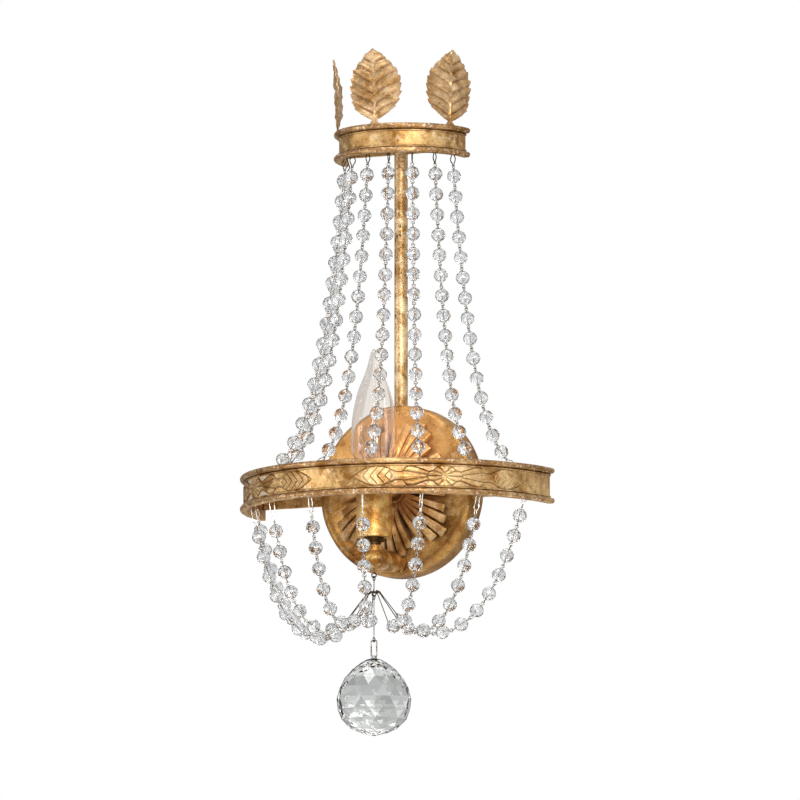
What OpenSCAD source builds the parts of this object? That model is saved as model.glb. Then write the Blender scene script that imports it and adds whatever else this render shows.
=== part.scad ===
// Crystal bead wall sconce: a small half-round crown and a wider half-round ring, joined by hanging
// strands of beads, in front of a round backplate that carries one candle light.
// The origin is the middle of the backplate on the wall. +Z is up, the wall is the plane Y = 0, and
// the sconce stands out from it towards -Y, so -Y is the front and +X the viewer's right.
// Angles round the ring and the crown are counted from the front, positive towards +X.

/* [Ring] */
// Outer radius of the lower ring, over its rims
ring_r = 117; // [108:1:128]
// Height of the lower ring
ring_h = 25; // [22:0.5:30]
// Height of the ring's middle above the backplate's middle
ring_z = -1; // [-2:0.5:2]

/* [Crown] */
// Outer radius of the crown, over its rims
crown_r = 51; // [47:1:60]
// Height of the crown's band
crown_h = 21; // [18:0.5:26]
// Height of the crown's middle above the backplate's middle
crown_z = 246.5; // [238:0.5:254]

/* [Bands] */
// Thickness of the web of both bands
web_t = 1.5; // [1:0.1:2.5]
// Height of a rolled rim
rim_h = 3.9; // [3:0.1:5]
// How far a rim stands out from its web
rim_out = 3.7; // [2.6:0.1:5]
// Gap between the wall and the ends of the bands
band_gap = 1; // [0.5:0.1:3]
// Height of the flat bar that closes each band at the back
bar_h = 10.5; // [8:0.5:14]
// Thickness of that bar
bar_t = 3; // [2:0.5:5]
// How far the hanging eyelets reach in from the web
eyelet_out = 2.8; // [2.4:0.1:4]
// Wire of the hanging eyelets
eyelet_w = 0.8; // [0.6:0.05:1]

/* [Leaves] */
// Height of a crown leaf above the crown, with its stem
leaf_h = 53; // [44:1:62]
// Width of a crown leaf
leaf_w = 36; // [30:1:42]
// Sheet thickness of a crown leaf
leaf_t = 1.2; // [0.8:0.1:2]
// Angle of the two side leaves from the front
leaf_angle = 67; // [55:1:75]
// Depth of the leaves' cupping
leaf_cup = 3; // [0:0.5:6]

/* [Garlands] */
// Angle of the middle of each garland from the front
garland_angle = 41; // [38:1:44]
// Length of a garland along the web
garland_len = 130; // [110:1:136]
// Relief of a garland over the web
garland_relief = 1.6; // [1:0.1:2.2]

/* [Backplate] */
// Outer radius of the backplate
plate_r = 60.8; // [58:0.2:66]
// Depth of the backplate's straight side
plate_side = 12; // [10:0.5:14]
// Depth of the backplate at its middle
plate_depth = 20; // [18.5:0.5:22]
// Sheet thickness of the backplate
plate_t = 1.2; // [0.8:0.1:2]
// Radius of the rosette over its leaf tips
rosette_r = 52; // [44:1:54]
// Number of leaves in the rosette
rosette_leaves = 7; // [5:1:9]

/* [Wall fixing] */
// Spacing of the two wall slots
slot_spacing = 79.4; // [70:0.2:84]
// Width of a wall slot
slot_w = 4.8; // [4:0.1:6]
// Length of a wall slot, end to end
slot_len = 16; // [10:1:20]
// Thickness of the mounting strap
strap_t = 2; // [1.2:0.1:2]
// Width of the mounting strap
strap_w = 20; // [16:1:26]

/* [Stem and arm] */
// Diameter of the upright rod
rod_d = 9.5; // [8:0.5:12]
// Distance of the rod's axis off the wall
rod_y = 8.4; // [7.6:0.2:9.4]
// Distance of the candle's axis off the wall
arm_y = 50; // [47:0.5:56]
// Height of the arm below the backplate's middle
arm_drop = 50.7; // [49:0.1:52]
// Diameter of the arm's tube
arm_d = 15; // [13:0.5:16]
// Diameter of the ball elbow
elbow_d = 15.2; // [14.4:0.1:17]

/* [Candle] */
// Outer diameter of the candle sleeve
sleeve_d = 25; // [23:0.5:28]
// Height of the candle sleeve
sleeve_h = 52; // [48:1:60]
// Wall of the candle sleeve
sleeve_t = 1; // [0.6:0.1:1.4]
// Gap between the elbow and the candle sleeve
neck_gap = 5.8; // [4.2:0.1:9]

/* [Bulb] */
// Largest diameter of the flame bulb
bulb_d = 31.8; // [28:0.2:35]
// Height of the bulb, from its contact to its tip
bulb_h = 101; // [90:1:106]
// Diameter of the bulb's screw shell
bulb_screw_d = 11.9; // [11.6:0.1:12.1]

/* [Beads] */
// Diameter of a bead, across its facets
bead_d = 10; // [9:0.2:10.6]
// Wire of the eye pins and hooks
wire_d = 0.7; // [0.6:0.05:0.8]
// Outer diameter of a wire eye
eye_d = 3; // [2.8:0.1:3.2]
// Angle between neighbouring strands, round the ring
strand_step = 22; // [20:0.5:22]
// Beads on an upper strand
upper_beads_each = 15; // [13:2:15]
// Length of the hook at the top of an upper strand
upper_hook = 9; // [7:0.5:11]
// Length of the hook at the foot of an upper strand
upper_foot = 19.6; // [18:0.2:26]
// Beads on the lower strands, from the middle pair to the pair at the wall
lower_beads_each = [7, 7, 8, 10]; // [6:1:11]
// Length of the hooks at the top of the lower strands, in the same order
lower_hook = [17.6, 17, 17, 8]; // [6:0.2:20]
// Length of the hooks that gather the lower strands, in the same order
gather_hook = [19, 30.7, 30, 20.7]; // [15:0.1:34]

/* [Pendant] */
// Diameter of the crystal ball
ball_d = 52.5; // [40:0.5:56]
// Length of the wire that carries the pendant
pendant_wire_len = 32; // [29:0.5:40]
// Length of the pendant's clip
clip_len = 11.4; // [10.4:0.2:16]
// Wire of the clip
clip_w = 0.9; // [0.7:0.05:1]

/* [Hidden] */
UPPER_BEADS = [for (i = [1 : 8]) str("upper_beads_", i)];
UPPER_WIRES = [for (i = [1 : 8]) str("upper_wires_", i)];
LOWER_BEADS = [for (i = [1 : 8]) str("lower_beads_", i)];
LOWER_WIRES = [for (i = [1 : 8]) str("lower_wires_", i)];

gold = [0.66, 0.48, 0.22];
pale_gold = [0.74, 0.57, 0.30];
steel = [0.62, 0.62, 0.60];
brass = [0.72, 0.58, 0.30];
crystal = [0.88, 0.91, 0.93];

// Finenesses of round forms: large turned parts, small turned parts, and wire
big_fn = 96;
small_fn = 48;
wire_fn = 24;

// Clearances: a seat that only touches, a loose hole round a wire, a screw in its hole
seat = 0.1;
loose = 0.25;
thread_gap = 0.1;

// Sizes of the threaded pipe that fastens strap, arm and socket, and of its lock nuts
pipe_d = 9.7;
pipe_bore = 6.4;
nut_af = 14;
nut_h = 3;

// The bands: inner face of the web, place of the bar, and reach of the eyelets
ring_web_in = ring_r - rim_out - web_t;
crown_web_in = crown_r - rim_out - web_t;
bar_y = strap_t;
eyelet_bow = 1.6;
ring_hook_r = ring_web_in - eyelet_out;
crown_hook_r = crown_web_in - eyelet_out;
eyelet_edge = 4.5;
ring_upper_eyelet_z = ring_z + ring_h / 2 - eyelet_edge;
ring_lower_eyelet_z = ring_z - ring_h / 2 + eyelet_edge;
crown_eyelet_z = crown_z - crown_h / 2 + 2;
crown_top = crown_z + crown_h / 2;
strand_angles = [for (i = [-3.5 : 1 : 3.5]) i * strand_step];

// Arm, elbow, candle and hub, all on the candle's axis
arm_z = -arm_drop;
arm_bore = 7;
elbow_land = sqrt(pow(elbow_d / 2, 2) - 36);
elbow_boss = 4;
elbow_top = arm_z + elbow_land + elbow_boss;
neck_z = arm_z + arm_bore / 2 + 0.4;
elbow_reach = 6;
elbow_back = arm_y - elbow_reach;
sleeve_z = elbow_top + neck_gap;
sleeve_top = sleeve_z + sleeve_h;
socket_d = 17;
socket_top = sleeve_top - 3;
socket_z = sleeve_z + 5;
socket_floor = socket_top - 19;
bulb_z = socket_floor + 2.2;
bulb_top = bulb_z + bulb_h;
elbow_bottom = arm_z - elbow_d / 2;

// Wire eyes: centre line of an eye, and how far a wire's middle lies past the joint of two eyes
eye_r = (eye_d - wire_d) / 2;
eye_past = (wire_d + seat) / 2;
eyelet_past = (wire_d + eyelet_w) / 2 + seat;
bead_pitch = 2 * (bead_d / 2 + seat + wire_d / 2 + 2 * eye_r - eye_past);
bead_bore = 1;
shank_d = 0.5;

// Hub: screw eye, hanger and gathering ring
screw_eye_r = 1.75;
screw_eye_w = 0.9;
screw_eye_z = elbow_bottom - 2.4 - screw_eye_r - screw_eye_w / 2;
hub_w = 0.8;
hub_eye_r = 1.5;
gather_r = 4.2;
gather_z = screw_eye_z - 12;
hanger_eye_z = screw_eye_z - screw_eye_r + (screw_eye_w + hub_w) / 2 + seat - hub_eye_r;
hub_foot_z = gather_z - 2 * hub_eye_r;
gather_past = (wire_d + hub_w) / 2 + seat;

// Pendant: the eyes of its wire, its clip and the hole in the ball
pendant_top_z = hub_foot_z + hub_w + seat;
pendant_foot_z = hub_foot_z - pendant_wire_len;
clip_top_z = pendant_foot_z + (hub_w + clip_w) / 2 + seat;
clip_foot_z = clip_top_z - clip_len;
clip_half_w = 2.15;
clip_corner = 0.9;
ball_hole_d = 1.5;
ball_hole_z = clip_foot_z - (ball_hole_d - clip_w) / 2 + 0.05;
ball_tip_r = clip_half_w - clip_w / 2 - 0.15;
ball_neck = 6.2;
ball_neck_r = 0.457 * ball_d / 2;
ball_mid_z = ball_hole_z - ball_neck - sqrt(pow(ball_d / 2, 2) - pow(ball_neck_r, 2));

// Sum of a list
function total(v, i = 0) = i < len(v) ? v[i] + total(v, i + 1) : 0;

// A hanging chain of rigid links: the slope of link k is m * (k - k0). These find m and k0 so that
// the chain runs from one hook to the other, dx further out and dz higher, by halving intervals.
function slope(k, m, k0) = atan(m * (k - k0));
function reach(links, m, k0) = total([for (k = [0 : len(links) - 1]) links[k] * cos(slope(k, m, k0))]);
function climb(links, m, k0) = total([for (k = [0 : len(links) - 1]) links[k] * sin(slope(k, m, k0))]);
function level(links, m, dz, low = -100, high = 100, n = 30) =
    let (mid = (low + high) / 2)
    n == 0 ? mid
    : climb(links, m, mid) > dz ? level(links, m, dz, mid, high, n - 1)
    : level(links, m, dz, low, mid, n - 1);
function sag(links, dx, dz, low = 0.01, high = 8, n = 26) =
    let (mid = sqrt(low * high))
    n == 0 ? mid
    : reach(links, mid, level(links, mid, dz)) > dx ? sag(links, dx, dz, mid, high, n - 1)
    : sag(links, dx, dz, low, mid, n - 1);

// Joints of a chain that starts at [x, z], in its own upright plane
function joints(links, dx, dz, start, side = 1) =
    let (m = sag(links, dx, dz), k0 = level(links, m, dz))
    [for (n = [0 : len(links)]) [
        start[0] + side * total([for (k = [0 : 1 : n - 1]) links[k] * cos(slope(k, m, k0))]),
        start[1] + total([for (k = [0 : 1 : n - 1]) links[k] * sin(slope(k, m, k0))])
    ]];

// Links of an upper strand, and its joints, with X counted out from the ring's axis
upper_links = concat([upper_hook], [for (i = [1 : upper_beads_each]) bead_pitch], [upper_foot]);
function upper_joints() = joints(upper_links, ring_hook_r - crown_hook_r,
    ring_upper_eyelet_z - crown_eyelet_z, [crown_hook_r, crown_eyelet_z]);

// The lower strand at angle t runs from its eyelet to the gathering ring, with X counted out from
// the candle's axis
function pair_of(i) = floor(abs(i - 3.5));
function eyelet_xy(t) = [ring_hook_r * sin(t), -band_gap - ring_hook_r * cos(t)];
function lower_run(t) = norm(eyelet_xy(t) + [0, arm_y]);
function lower_turn(t) = atan2(eyelet_xy(t)[1] + arm_y, eyelet_xy(t)[0]);
function lower_links(p) = concat([lower_hook[p]], [for (i = [1 : lower_beads_each[p]]) bead_pitch],
    [gather_hook[p]]);
function lower_joints(i) =
    let (run = lower_run(strand_angles[i]))
    joints(lower_links(pair_of(i)), run - gather_r, gather_z - ring_lower_eyelet_z,
        [run, ring_lower_eyelet_z], -1);

// Closed sheet between two grids of points with the same rows and columns
module sheet(front, back) {
    rows = len(front);
    cols = len(front[0]);
    n = rows * cols;
    edge = concat(
        [for (j = [0 : cols - 1]) j],
        [for (i = [1 : rows - 1]) i * cols + cols - 1],
        [for (j = [cols - 2 : -1 : 0]) (rows - 1) * cols + j],
        [for (i = [rows - 2 : -1 : 1]) i * cols]
    );
    m = len(edge);
    polyhedron(
        points = concat([for (row = front) each row], [for (row = back) each row]),
        faces = concat(
            [for (i = [0 : rows - 2], j = [0 : cols - 2]) let (a = i * cols + j)
                each [[a, a + 1, a + cols], [a + 1, a + cols + 1, a + cols]]],
            [for (i = [0 : rows - 2], j = [0 : cols - 2]) let (a = n + i * cols + j)
                each [[a, a + cols, a + 1], [a + 1, a + cols, a + cols + 1]]],
            [for (k = [0 : m - 1]) let (a = edge[k], b = edge[(k + 1) % m])
                each [[a, n + a, b], [b, n + a, n + b]]]
        ),
        convexity = 6
    );
}

// A full or part ring of wire in the XZ plane
module wire_arc(r, w, turn = 360) {
    rotate([90, 0, 0]) rotate_extrude(angle = turn, $fn = small_fn) translate([r, 0]) circle(d = w, $fn = wire_fn);
}

// Places a link's middle between two joints of a strand, with its length along Z
module along(p, q) {
    translate([(p[0] + q[0]) / 2, 0, (p[1] + q[1]) / 2])
        rotate([0, atan2(q[0] - p[0], q[1] - p[1]), 0])
            children();
}

// A wire pin with an eye at each end. Its eyes lie past the joints by the two given lengths, and the
// eye at the start is turned about the pin by the given angle.
module eye_pin(length, past_start, past_end, w, turn_start = 0, turn_end = 0) {
    start = -length / 2 - past_start + eye_r;
    end = length / 2 + past_end - eye_r;
    translate([0, 0, start + eye_r]) cylinder(d = w, h = end - start - 2 * eye_r, $fn = wire_fn);
    translate([0, 0, start]) rotate([0, 0, turn_start]) wire_arc(eye_r, wire_d);
    translate([0, 0, end]) rotate([0, 0, turn_end]) wire_arc(eye_r, wire_d);
}

// A long closed hook of two legs
module hairpin(length, past_start, past_end) {
    start = -length / 2 - past_start + eye_r;
    end = length / 2 + past_end - eye_r;
    translate([0, 0, end]) wire_arc(eye_r, wire_d, 180);
    translate([0, 0, start]) rotate([0, 180, 0]) wire_arc(eye_r, wire_d, 180);
    for (s = [-1, 1]) translate([s * eye_r, 0, start]) cylinder(d = wire_d, h = end - start, $fn = wire_fn);
}

// A bead: three eight-sided prisms leave a round with eighteen facets, drilled along its length
module bead() {
    round_d = bead_d / cos(22.5);
    difference() {
        intersection() {
            rotate([0, 0, 22.5]) cylinder(d = round_d, h = bead_d, center = true, $fn = 8);
            rotate([90, 22.5, 0]) cylinder(d = round_d, h = bead_d + 1, center = true, $fn = 8);
            rotate([0, 90, 0]) rotate([0, 0, 22.5]) cylinder(d = round_d, h = bead_d + 1, center = true, $fn = 8);
        }
        cylinder(d = bead_bore, h = bead_d + 1, center = true, $fn = wire_fn);
    }
}

// Beads of a strand: every link but the first and last carries one
module strand_beads(j) {
    color(crystal) for (k = [1 : len(j) - 3]) along(j[k], j[k + 1]) bead();
}

// Eye pins of a strand. Neighbouring pins are turned a quarter turn to link through each other.
module strand_pins(j) {
    for (k = [1 : len(j) - 3]) {
        quarter = 90 * (k % 2);
        along(j[k], j[k + 1]) eye_pin(bead_pitch, eye_past, eye_past, shank_d, quarter, quarter);
    }
}

// Puts an upper strand in its place on the ring and the crown
module upper_place(i) {
    translate([0, -band_gap, 0]) rotate([0, 0, strand_angles[i] - 90]) children();
}

module upper_beads(i) {
    upper_place(i) strand_beads(upper_joints());
}

module upper_wires(i) {
    j = upper_joints();
    last = len(j) - 1;
    color(steel) upper_place(i) {
        along(j[0], j[1]) hairpin(upper_hook, eyelet_past, eye_past);
        strand_pins(j);
        along(j[last - 1], j[last]) hairpin(upper_foot, eye_past, eyelet_past);
    }
}

// Puts a lower strand in its place between the ring and the hub
module lower_place(i) {
    translate([0, -arm_y, 0]) rotate([0, 0, lower_turn(strand_angles[i])]) children();
}

module lower_beads(i) {
    lower_place(i) strand_beads(lower_joints(i));
}

module lower_wires(i) {
    j = lower_joints(i);
    p = pair_of(i);
    last = len(j) - 1;
    color(steel) lower_place(i) {
        along(j[0], j[1]) hairpin(lower_hook[p], eyelet_past, eye_past);
        strand_pins(j);
        along(j[last - 1], j[last])
            eye_pin(gather_hook[p], eye_past, gather_past, wire_d, 90 * ((lower_beads_each[p] + 1) % 2), 0);
    }
}

// Section of a band: a web with a rolled rim at each edge and a thin bead beside each rim
module band_section(r, h) {
    web_x = r - rim_out - web_t;
    translate([web_x, -h / 2]) square([web_t, h]);
    for (s = [-1, 1]) {
        translate([web_x, s * (h - rim_h) / 2 - rim_h / 2]) square([r - rim_h / 2 - web_x, rim_h]);
        translate([r - rim_h / 2, s * (h - rim_h) / 2]) circle(d = rim_h, $fn = small_fn);
        translate([web_x, s * (h / 2 - rim_h) - 0.9]) square([web_t + 0.9, 1.8]);
    }
}

// One hanging eyelet: a bow of wire on the inner face of a web, at [angle, height]
module eyelet(t, z, web_in) {
    leg = eyelet_out - eyelet_bow + 0.6;
    translate([0, -band_gap, z]) rotate([0, 0, t - 90]) translate([web_in - eyelet_out + eyelet_bow, 0, 0]) {
        rotate([0, 0, 90]) rotate_extrude(angle = 180, $fn = small_fn)
            translate([eyelet_bow, 0]) circle(d = eyelet_w, $fn = wire_fn);
        for (s = [-1, 1]) translate([0, s * eyelet_bow, 0]) rotate([0, 90, 0])
            cylinder(d = eyelet_w, h = leg, $fn = wire_fn);
    }
}

// A half-round band closed by a flat bar at the back
module band(r, h, z) {
    web_in = r - rim_out - web_t;
    translate([0, -band_gap, z]) rotate([0, 0, 180])
        rotate_extrude(angle = 180, $fn = big_fn) band_section(r, h);
    translate([-web_in - 0.5, -bar_y - bar_t, z - bar_h / 2]) cube([2 * web_in + 1, bar_t, bar_h]);
}

module ring_band() {
    color(gold) difference() {
        union() {
            band(ring_r, ring_h, ring_z);
            for (t = strand_angles) {
                eyelet(t, ring_upper_eyelet_z, ring_web_in);
                eyelet(t, ring_lower_eyelet_z, ring_web_in);
            }
        }
        rotate([90, 0, 0]) cylinder(d = pipe_d + 0.8, h = 30, center = true, $fn = small_fn);
    }
}

module crown_band() {
    color(gold) {
        band(crown_r, crown_h, crown_z);
        for (t = strand_angles) eyelet(t, crown_eyelet_z, crown_web_in);
    }
}

// A crown leaf, standing on its foot: half width, cupping and vein relief at height u and side v,
// where u runs from 0 at the foot to 1 at the tip and v from -1 to 1
leaf_teeth = 8;
leaf_stem = 0.05;
leaf_rows = 4;
leaf_cols = 12;
function leaf_part(u) = max(0, (u - leaf_stem) / (1 - leaf_stem));
function leaf_tooth(p) = let (q = p * leaf_teeth - floor(p * leaf_teeth)) 1 + 0.11 * (q - 0.5) * (1 - p);
function leaf_half(u) =
    let (p = leaf_part(u))
    p <= 0 ? 2.2 + 1.4 * pow(1 - u / leaf_stem, 2)
    : max(0.5, leaf_w / 2 * pow(sin(180 * pow(p, 0.86)), 0.72) * leaf_tooth(p) + 2 * (1 - p) * (1 - p));
function leaf_relief(u, v) =
    let (p = leaf_part(u), vein = p * leaf_teeth - 1.7 * abs(v))
    p <= 0 ? 0 : sin(180 * p) * (0.55 * cos(360 * vein) * min(1, 3 * abs(v)) + 0.5 * max(0, 1 - 6 * abs(v)))
        - leaf_cup * v * v * sin(180 * p) + leaf_cup * p * p;
function leaf_point(u, v, back) =
    [v * leaf_half(u), -leaf_relief(u, v) + back, u * leaf_h];
function leaf_levels() = concat([0, leaf_stem * 0.5],
    [for (k = [0 : leaf_teeth - 1], q = [0 : leaf_rows - 1])
        leaf_stem + (1 - leaf_stem) * (k + min(q / (leaf_rows - 1), 0.98)) / leaf_teeth]);

module crown_leaf() {
    rows = leaf_levels();
    cols = [for (j = [0 : leaf_cols]) 2 * j / leaf_cols - 1];
    sheet([for (u = rows) [for (v = cols) leaf_point(u, v, 0)]],
        [for (u = rows) [for (v = cols) leaf_point(u, v, leaf_t)]]);
}

module crown_leaves() {
    foot_r = crown_r - (rim_out + web_t) / 2;
    color(pale_gold) for (t = [-leaf_angle, 0, leaf_angle])
        translate([foot_r * sin(t), -band_gap - foot_r * cos(t), crown_top])
            rotate([0, 0, t]) translate([0, -leaf_t / 2, 0]) crown_leaf();
}

// Half height of a garland at a share s of its half length: rosette, scrolls, stems and bud
function bump(x, middle, width) = let (d = (x - middle) / width) abs(d) < 1 ? pow(cos(90 * d), 2) : 0;
function garland_half(s) =
    let (room = ring_h / 2 - rim_h - 0.7)
    room * max(0.04, (1 - pow(s, 6)) * (0.36 * (1 - bump(s, 1, 0.3))
        + 0.62 * bump(s, 0, 0.17) + 0.48 * bump(s, 0.355, 0.13) + 0.5 * bump(s, 0.745, 0.24)));
function garland_point(s, v, lift) =
    let (
        half = garland_half(abs(s)),
        ribs = 0.22 * cos(360 * (abs(s) * 16 - 1.6 * abs(v))),
        height = lift * (0.45 + 0.55 * (1 - v * v) + ribs * (1 - v * v)),
        r = ring_r - rim_out + 0.05 + height,
        a = s * garland_len / 2 / (ring_r - rim_out) * 180 / PI
    )
    [r * sin(a), -r * cos(a), v * half];

module garlands() {
    steps = 33;
    rows = [for (i = [-steps : steps]) i / steps];
    cols = [-1, -0.6, -0.2, 0.2, 0.6, 1];
    color(pale_gold) for (t = [-garland_angle, garland_angle])
        translate([0, -band_gap, ring_z]) rotate([0, 0, t])
            sheet([for (v = cols) [for (s = rows) garland_point(s, v, garland_relief)]],
                [for (v = cols) [for (s = rows) garland_point(s, v, 0)]]);
}

module stem_rod() {
    foot = plate_r - 8;
    top = crown_z + bar_h / 2 + 0.5;
    color(gold) difference() {
        translate([0, -rod_y, foot]) cylinder(d = rod_d, h = top - foot, $fn = small_fn);
        translate([-rod_d, -bar_y - bar_t, crown_z - bar_h / 2 - seat]) cube([2 * rod_d, rod_d, bar_h + 2]);
    }
}

// Outline of the backplate from its rim on the wall to its middle, as [radius, distance off the wall]
pan_shoulder = 4.6;
pan_face = plate_depth - 3;
function pan_line(r, drop) = concat(
    [[r, 0], [r, plate_side - drop]],
    [for (a = [15 : 15 : 90]) [r - pan_shoulder * (1 - cos(a)),
        plate_side - drop + (pan_face - plate_side) * sin(a)]],
    [for (k = [0 : 8]) let (x = (r - pan_shoulder - 1.5) * (1 - k / 8))
        [x, pan_face - 0.8 - drop + (plate_depth - pan_face + 0.8) * (1 - pow(1 - k / 8, 2))]],
    [[0, 0]]
);

// Distance of the backplate's face off the wall at a radius
function pan_depth(x) = pan_face - 0.8
    + (plate_depth - pan_face + 0.8) * (1 - pow(x / (plate_r - pan_shoulder - 1.5), 2));

module backplate() {
    color(gold) difference() {
        rotate([90, 0, 0]) rotate_extrude($fn = big_fn) difference() {
            polygon(pan_line(plate_r, 0));
            polygon([for (p = pan_line(plate_r - plate_t, plate_t)) [p[0], p[1] <= 0 ? -1 : p[1]]]);
        }
        translate([0, -rod_y, plate_r - 14]) cylinder(d = rod_d + 2 * seat, h = 20, $fn = small_fn);
        translate([0, 0, arm_z]) rotate([90, 0, 0]) cylinder(d = arm_d + 2 * seat, h = 30, $fn = small_fn);
        rotate([90, 0, 0]) cylinder(d = pipe_d + 0.5, h = 30, $fn = small_fn);
        translate([-plate_r - 2, -bar_y - bar_t - 0.3, ring_z - bar_h / 2 - 0.3])
            cube([2 * plate_r + 4, bar_y + bar_t + 1.3, bar_h + 0.6]);
    }
}

// The rosette is one pressed sheet with a flat hub under the cap nut: each leaf is a fan of five
// square-ended fingers, each finger has a ridge along its middle, and the arm passes between two leaves
rosette_fingers = [0.84, 0.95, 1, 0.93, 0.86];
finger_turn = 7.4;
rosette_hole_r = 5.1;
rosette_hub_r = 9;
rosette_sheet = 1.4;
function rosette_columns(k) = concat(
    [for (j = [0 : 4], e = [-1, 0, 1])
        [k * 360 / rosette_leaves + (j - 2 + 0.47 * e) * finger_turn, rosette_r * rosette_fingers[j], 1 - abs(e)]],
    [[(k + 0.5) * 360 / rosette_leaves, 17, 0]]
);
function rosette_rise(u) = 7.5 * sin(180 * pow(u, 0.8)) + 1.2 * u;
function rosette_point(column, u, back) =
    let (r = u < 0 ? rosette_hole_r : rosette_hub_r + u * (column[1] - rosette_hub_r))
    [r * cos(column[0]), r * sin(column[0]), u <= 0 ? -back
        : rosette_rise(u) * min(1, column[1] / 30 + 0.2) + 1.6 * column[2] * sin(150 * u)
            - (plate_depth - pan_depth(r)) - back];

module rosette() {
    columns = [for (k = [0 : rosette_leaves - 1]) each rosette_columns(k)];
    levels = [-1, 0, 0.14, 0.32, 0.52, 0.72, 0.9, 1];
    n = len(columns);
    rows = len(levels);
    half = n * rows;
    color(pale_gold) translate([0, -plate_depth - rosette_sheet - seat, 0])
        rotate([90, 90 - 180 / rosette_leaves, 0]) polyhedron(
            points = concat([for (u = levels, c = columns) rosette_point(c, u, 0)],
                [for (u = levels, c = columns) rosette_point(c, u, rosette_sheet)]),
            faces = concat(
                [for (i = [0 : rows - 2], j = [0 : n - 1]) let (a = i * n + j, b = i * n + (j + 1) % n)
                    each [[a, b, a + n], [b, b + n, a + n]]],
                [for (i = [0 : rows - 2], j = [0 : n - 1])
                    let (a = half + i * n + j, b = half + i * n + (j + 1) % n)
                    each [[a, a + n, b], [b, a + n, b + n]]],
                [for (j = [0 : n - 1]) let (b = (j + 1) % n) each [[j, half + j, b], [b, half + j, half + b]]],
                [for (j = [0 : n - 1]) let (a = half - n + j, b = half - n + (j + 1) % n)
                    each [[a, b, half + a], [b, half + b, half + a]]]
            ),
            convexity = 8
        );
}

// Places a turned part with its axis off the wall, starting a given distance from it
module off_wall(y, z = 0) {
    translate([0, -y, z]) rotate([90, 0, 0]) children();
}

module cap_nut() {
    r = 8;
    hub_front = plate_depth + rosette_sheet + 2 * seat;
    color(gold) off_wall(hub_front) difference() {
        union() {
            cylinder(r = r, h = 3, $fn = small_fn);
            translate([0, 0, 3]) intersection() {
                sphere(r = r - 0.6, $fn = small_fn);
                cylinder(r = r, h = r, $fn = small_fn);
            }
        }
        translate([0, 0, -1]) cylinder(d = pipe_d + 2 * thread_gap, h = 7, $fn = small_fn);
    }
}

module mounting_strap() {
    strap_half = slot_spacing / 2 + slot_len / 2 + 4 - strap_w / 2;
    color(steel) rotate([90, 0, 0]) linear_extrude(strap_t) difference() {
        union() {
            square([strap_w, 2 * strap_half], center = true);
            for (s = [-1, 1]) translate([0, s * strap_half]) circle(d = strap_w, $fn = small_fn);
        }
        circle(d = pipe_d + 2 * thread_gap, $fn = small_fn);
        for (s = [-1, 1]) translate([0, s * slot_spacing / 2]) {
            square([slot_w, slot_len - slot_w], center = true);
            for (e = [-1, 1]) translate([0, e * (slot_len - slot_w) / 2]) circle(d = slot_w, $fn = small_fn);
        }
        translate([0, -20]) circle(d = ground_d + 2 * thread_gap, $fn = small_fn);
    }
}

// Tube of threaded pipe
module pipe(h) {
    difference() {
        cylinder(d = pipe_d, h = h, $fn = small_fn);
        translate([0, 0, -1]) cylinder(d = pipe_bore, h = h + 2, $fn = small_fn);
    }
}

module strap_nipple() {
    color(brass) off_wall(0) pipe(plate_depth + rosette_sheet + 5);
}

module lock_nut() {
    difference() {
        cylinder(d = nut_af / cos(30), h = nut_h, $fn = 6);
        translate([0, 0, -1]) cylinder(d = pipe_d + 2 * thread_gap, h = nut_h + 2, $fn = small_fn);
    }
}

// One nut clamps the ring's bar to the strap, one stands under the candle sleeve and one holds the
// sleeve's floor from inside
module lock_nuts() {
    color(brass) {
        off_wall(bar_y + bar_t) lock_nut();
        translate([0, -arm_y, sleeve_z - nut_h]) lock_nut();
        translate([0, -arm_y, sleeve_z + sleeve_t]) lock_nut();
    }
}

ground_d = 4;
module ground_screw() {
    color([0.25, 0.5, 0.25]) translate([0, 0, -20]) off_wall(0) difference() {
        union() {
            cylinder(d = ground_d, h = strap_t + 0.5, $fn = small_fn);
            translate([0, 0, strap_t]) cylinder(d = 8, h = 2.4, $fn = small_fn);
        }
        translate([-0.6, -5, strap_t + 1.4]) cube([1.2, 10, 2]);
    }
}

module arm_tube() {
    back = pan_depth(arm_drop) - 5;
    color(gold) off_wall(back, arm_z) difference() {
        union() {
            cylinder(d = arm_d, h = elbow_back - back, $fn = small_fn);
            translate([0, 0, pan_depth(arm_drop - arm_d / 2) - back + seat])
                cylinder(d = arm_d + 2, h = 1.2, $fn = small_fn);
        }
        translate([0, 0, -1]) cylinder(d = arm_bore, h = elbow_back, $fn = small_fn);
    }
}

module elbow() {
    color(gold) translate([0, -arm_y, arm_z]) difference() {
        union() {
            sphere(d = elbow_d, $fn = small_fn);
            rotate([-90, 0, 0]) cylinder(d = elbow_d, h = elbow_reach, $fn = small_fn);
            cylinder(r = 6, h = elbow_land + elbow_boss, $fn = small_fn);
        }
        translate([-elbow_d, elbow_reach, -elbow_d]) cube(2 * elbow_d);
        rotate([-90, 0, 0]) cylinder(d = arm_bore, h = elbow_d, $fn = small_fn);
        translate([0, 0, neck_z - arm_z - seat]) cylinder(d = pipe_d + 2 * seat, h = elbow_d, $fn = small_fn);
        cylinder(d = pipe_bore, h = elbow_d, $fn = small_fn);
        translate([0, 0, -elbow_d / 2 - 1]) cylinder(d = screw_eye_w + 2 * seat, h = 4, $fn = wire_fn);
    }
}

module neck_nipple() {
    color(brass) translate([0, -arm_y, neck_z]) pipe(socket_z + 6 - neck_z);
}

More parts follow.
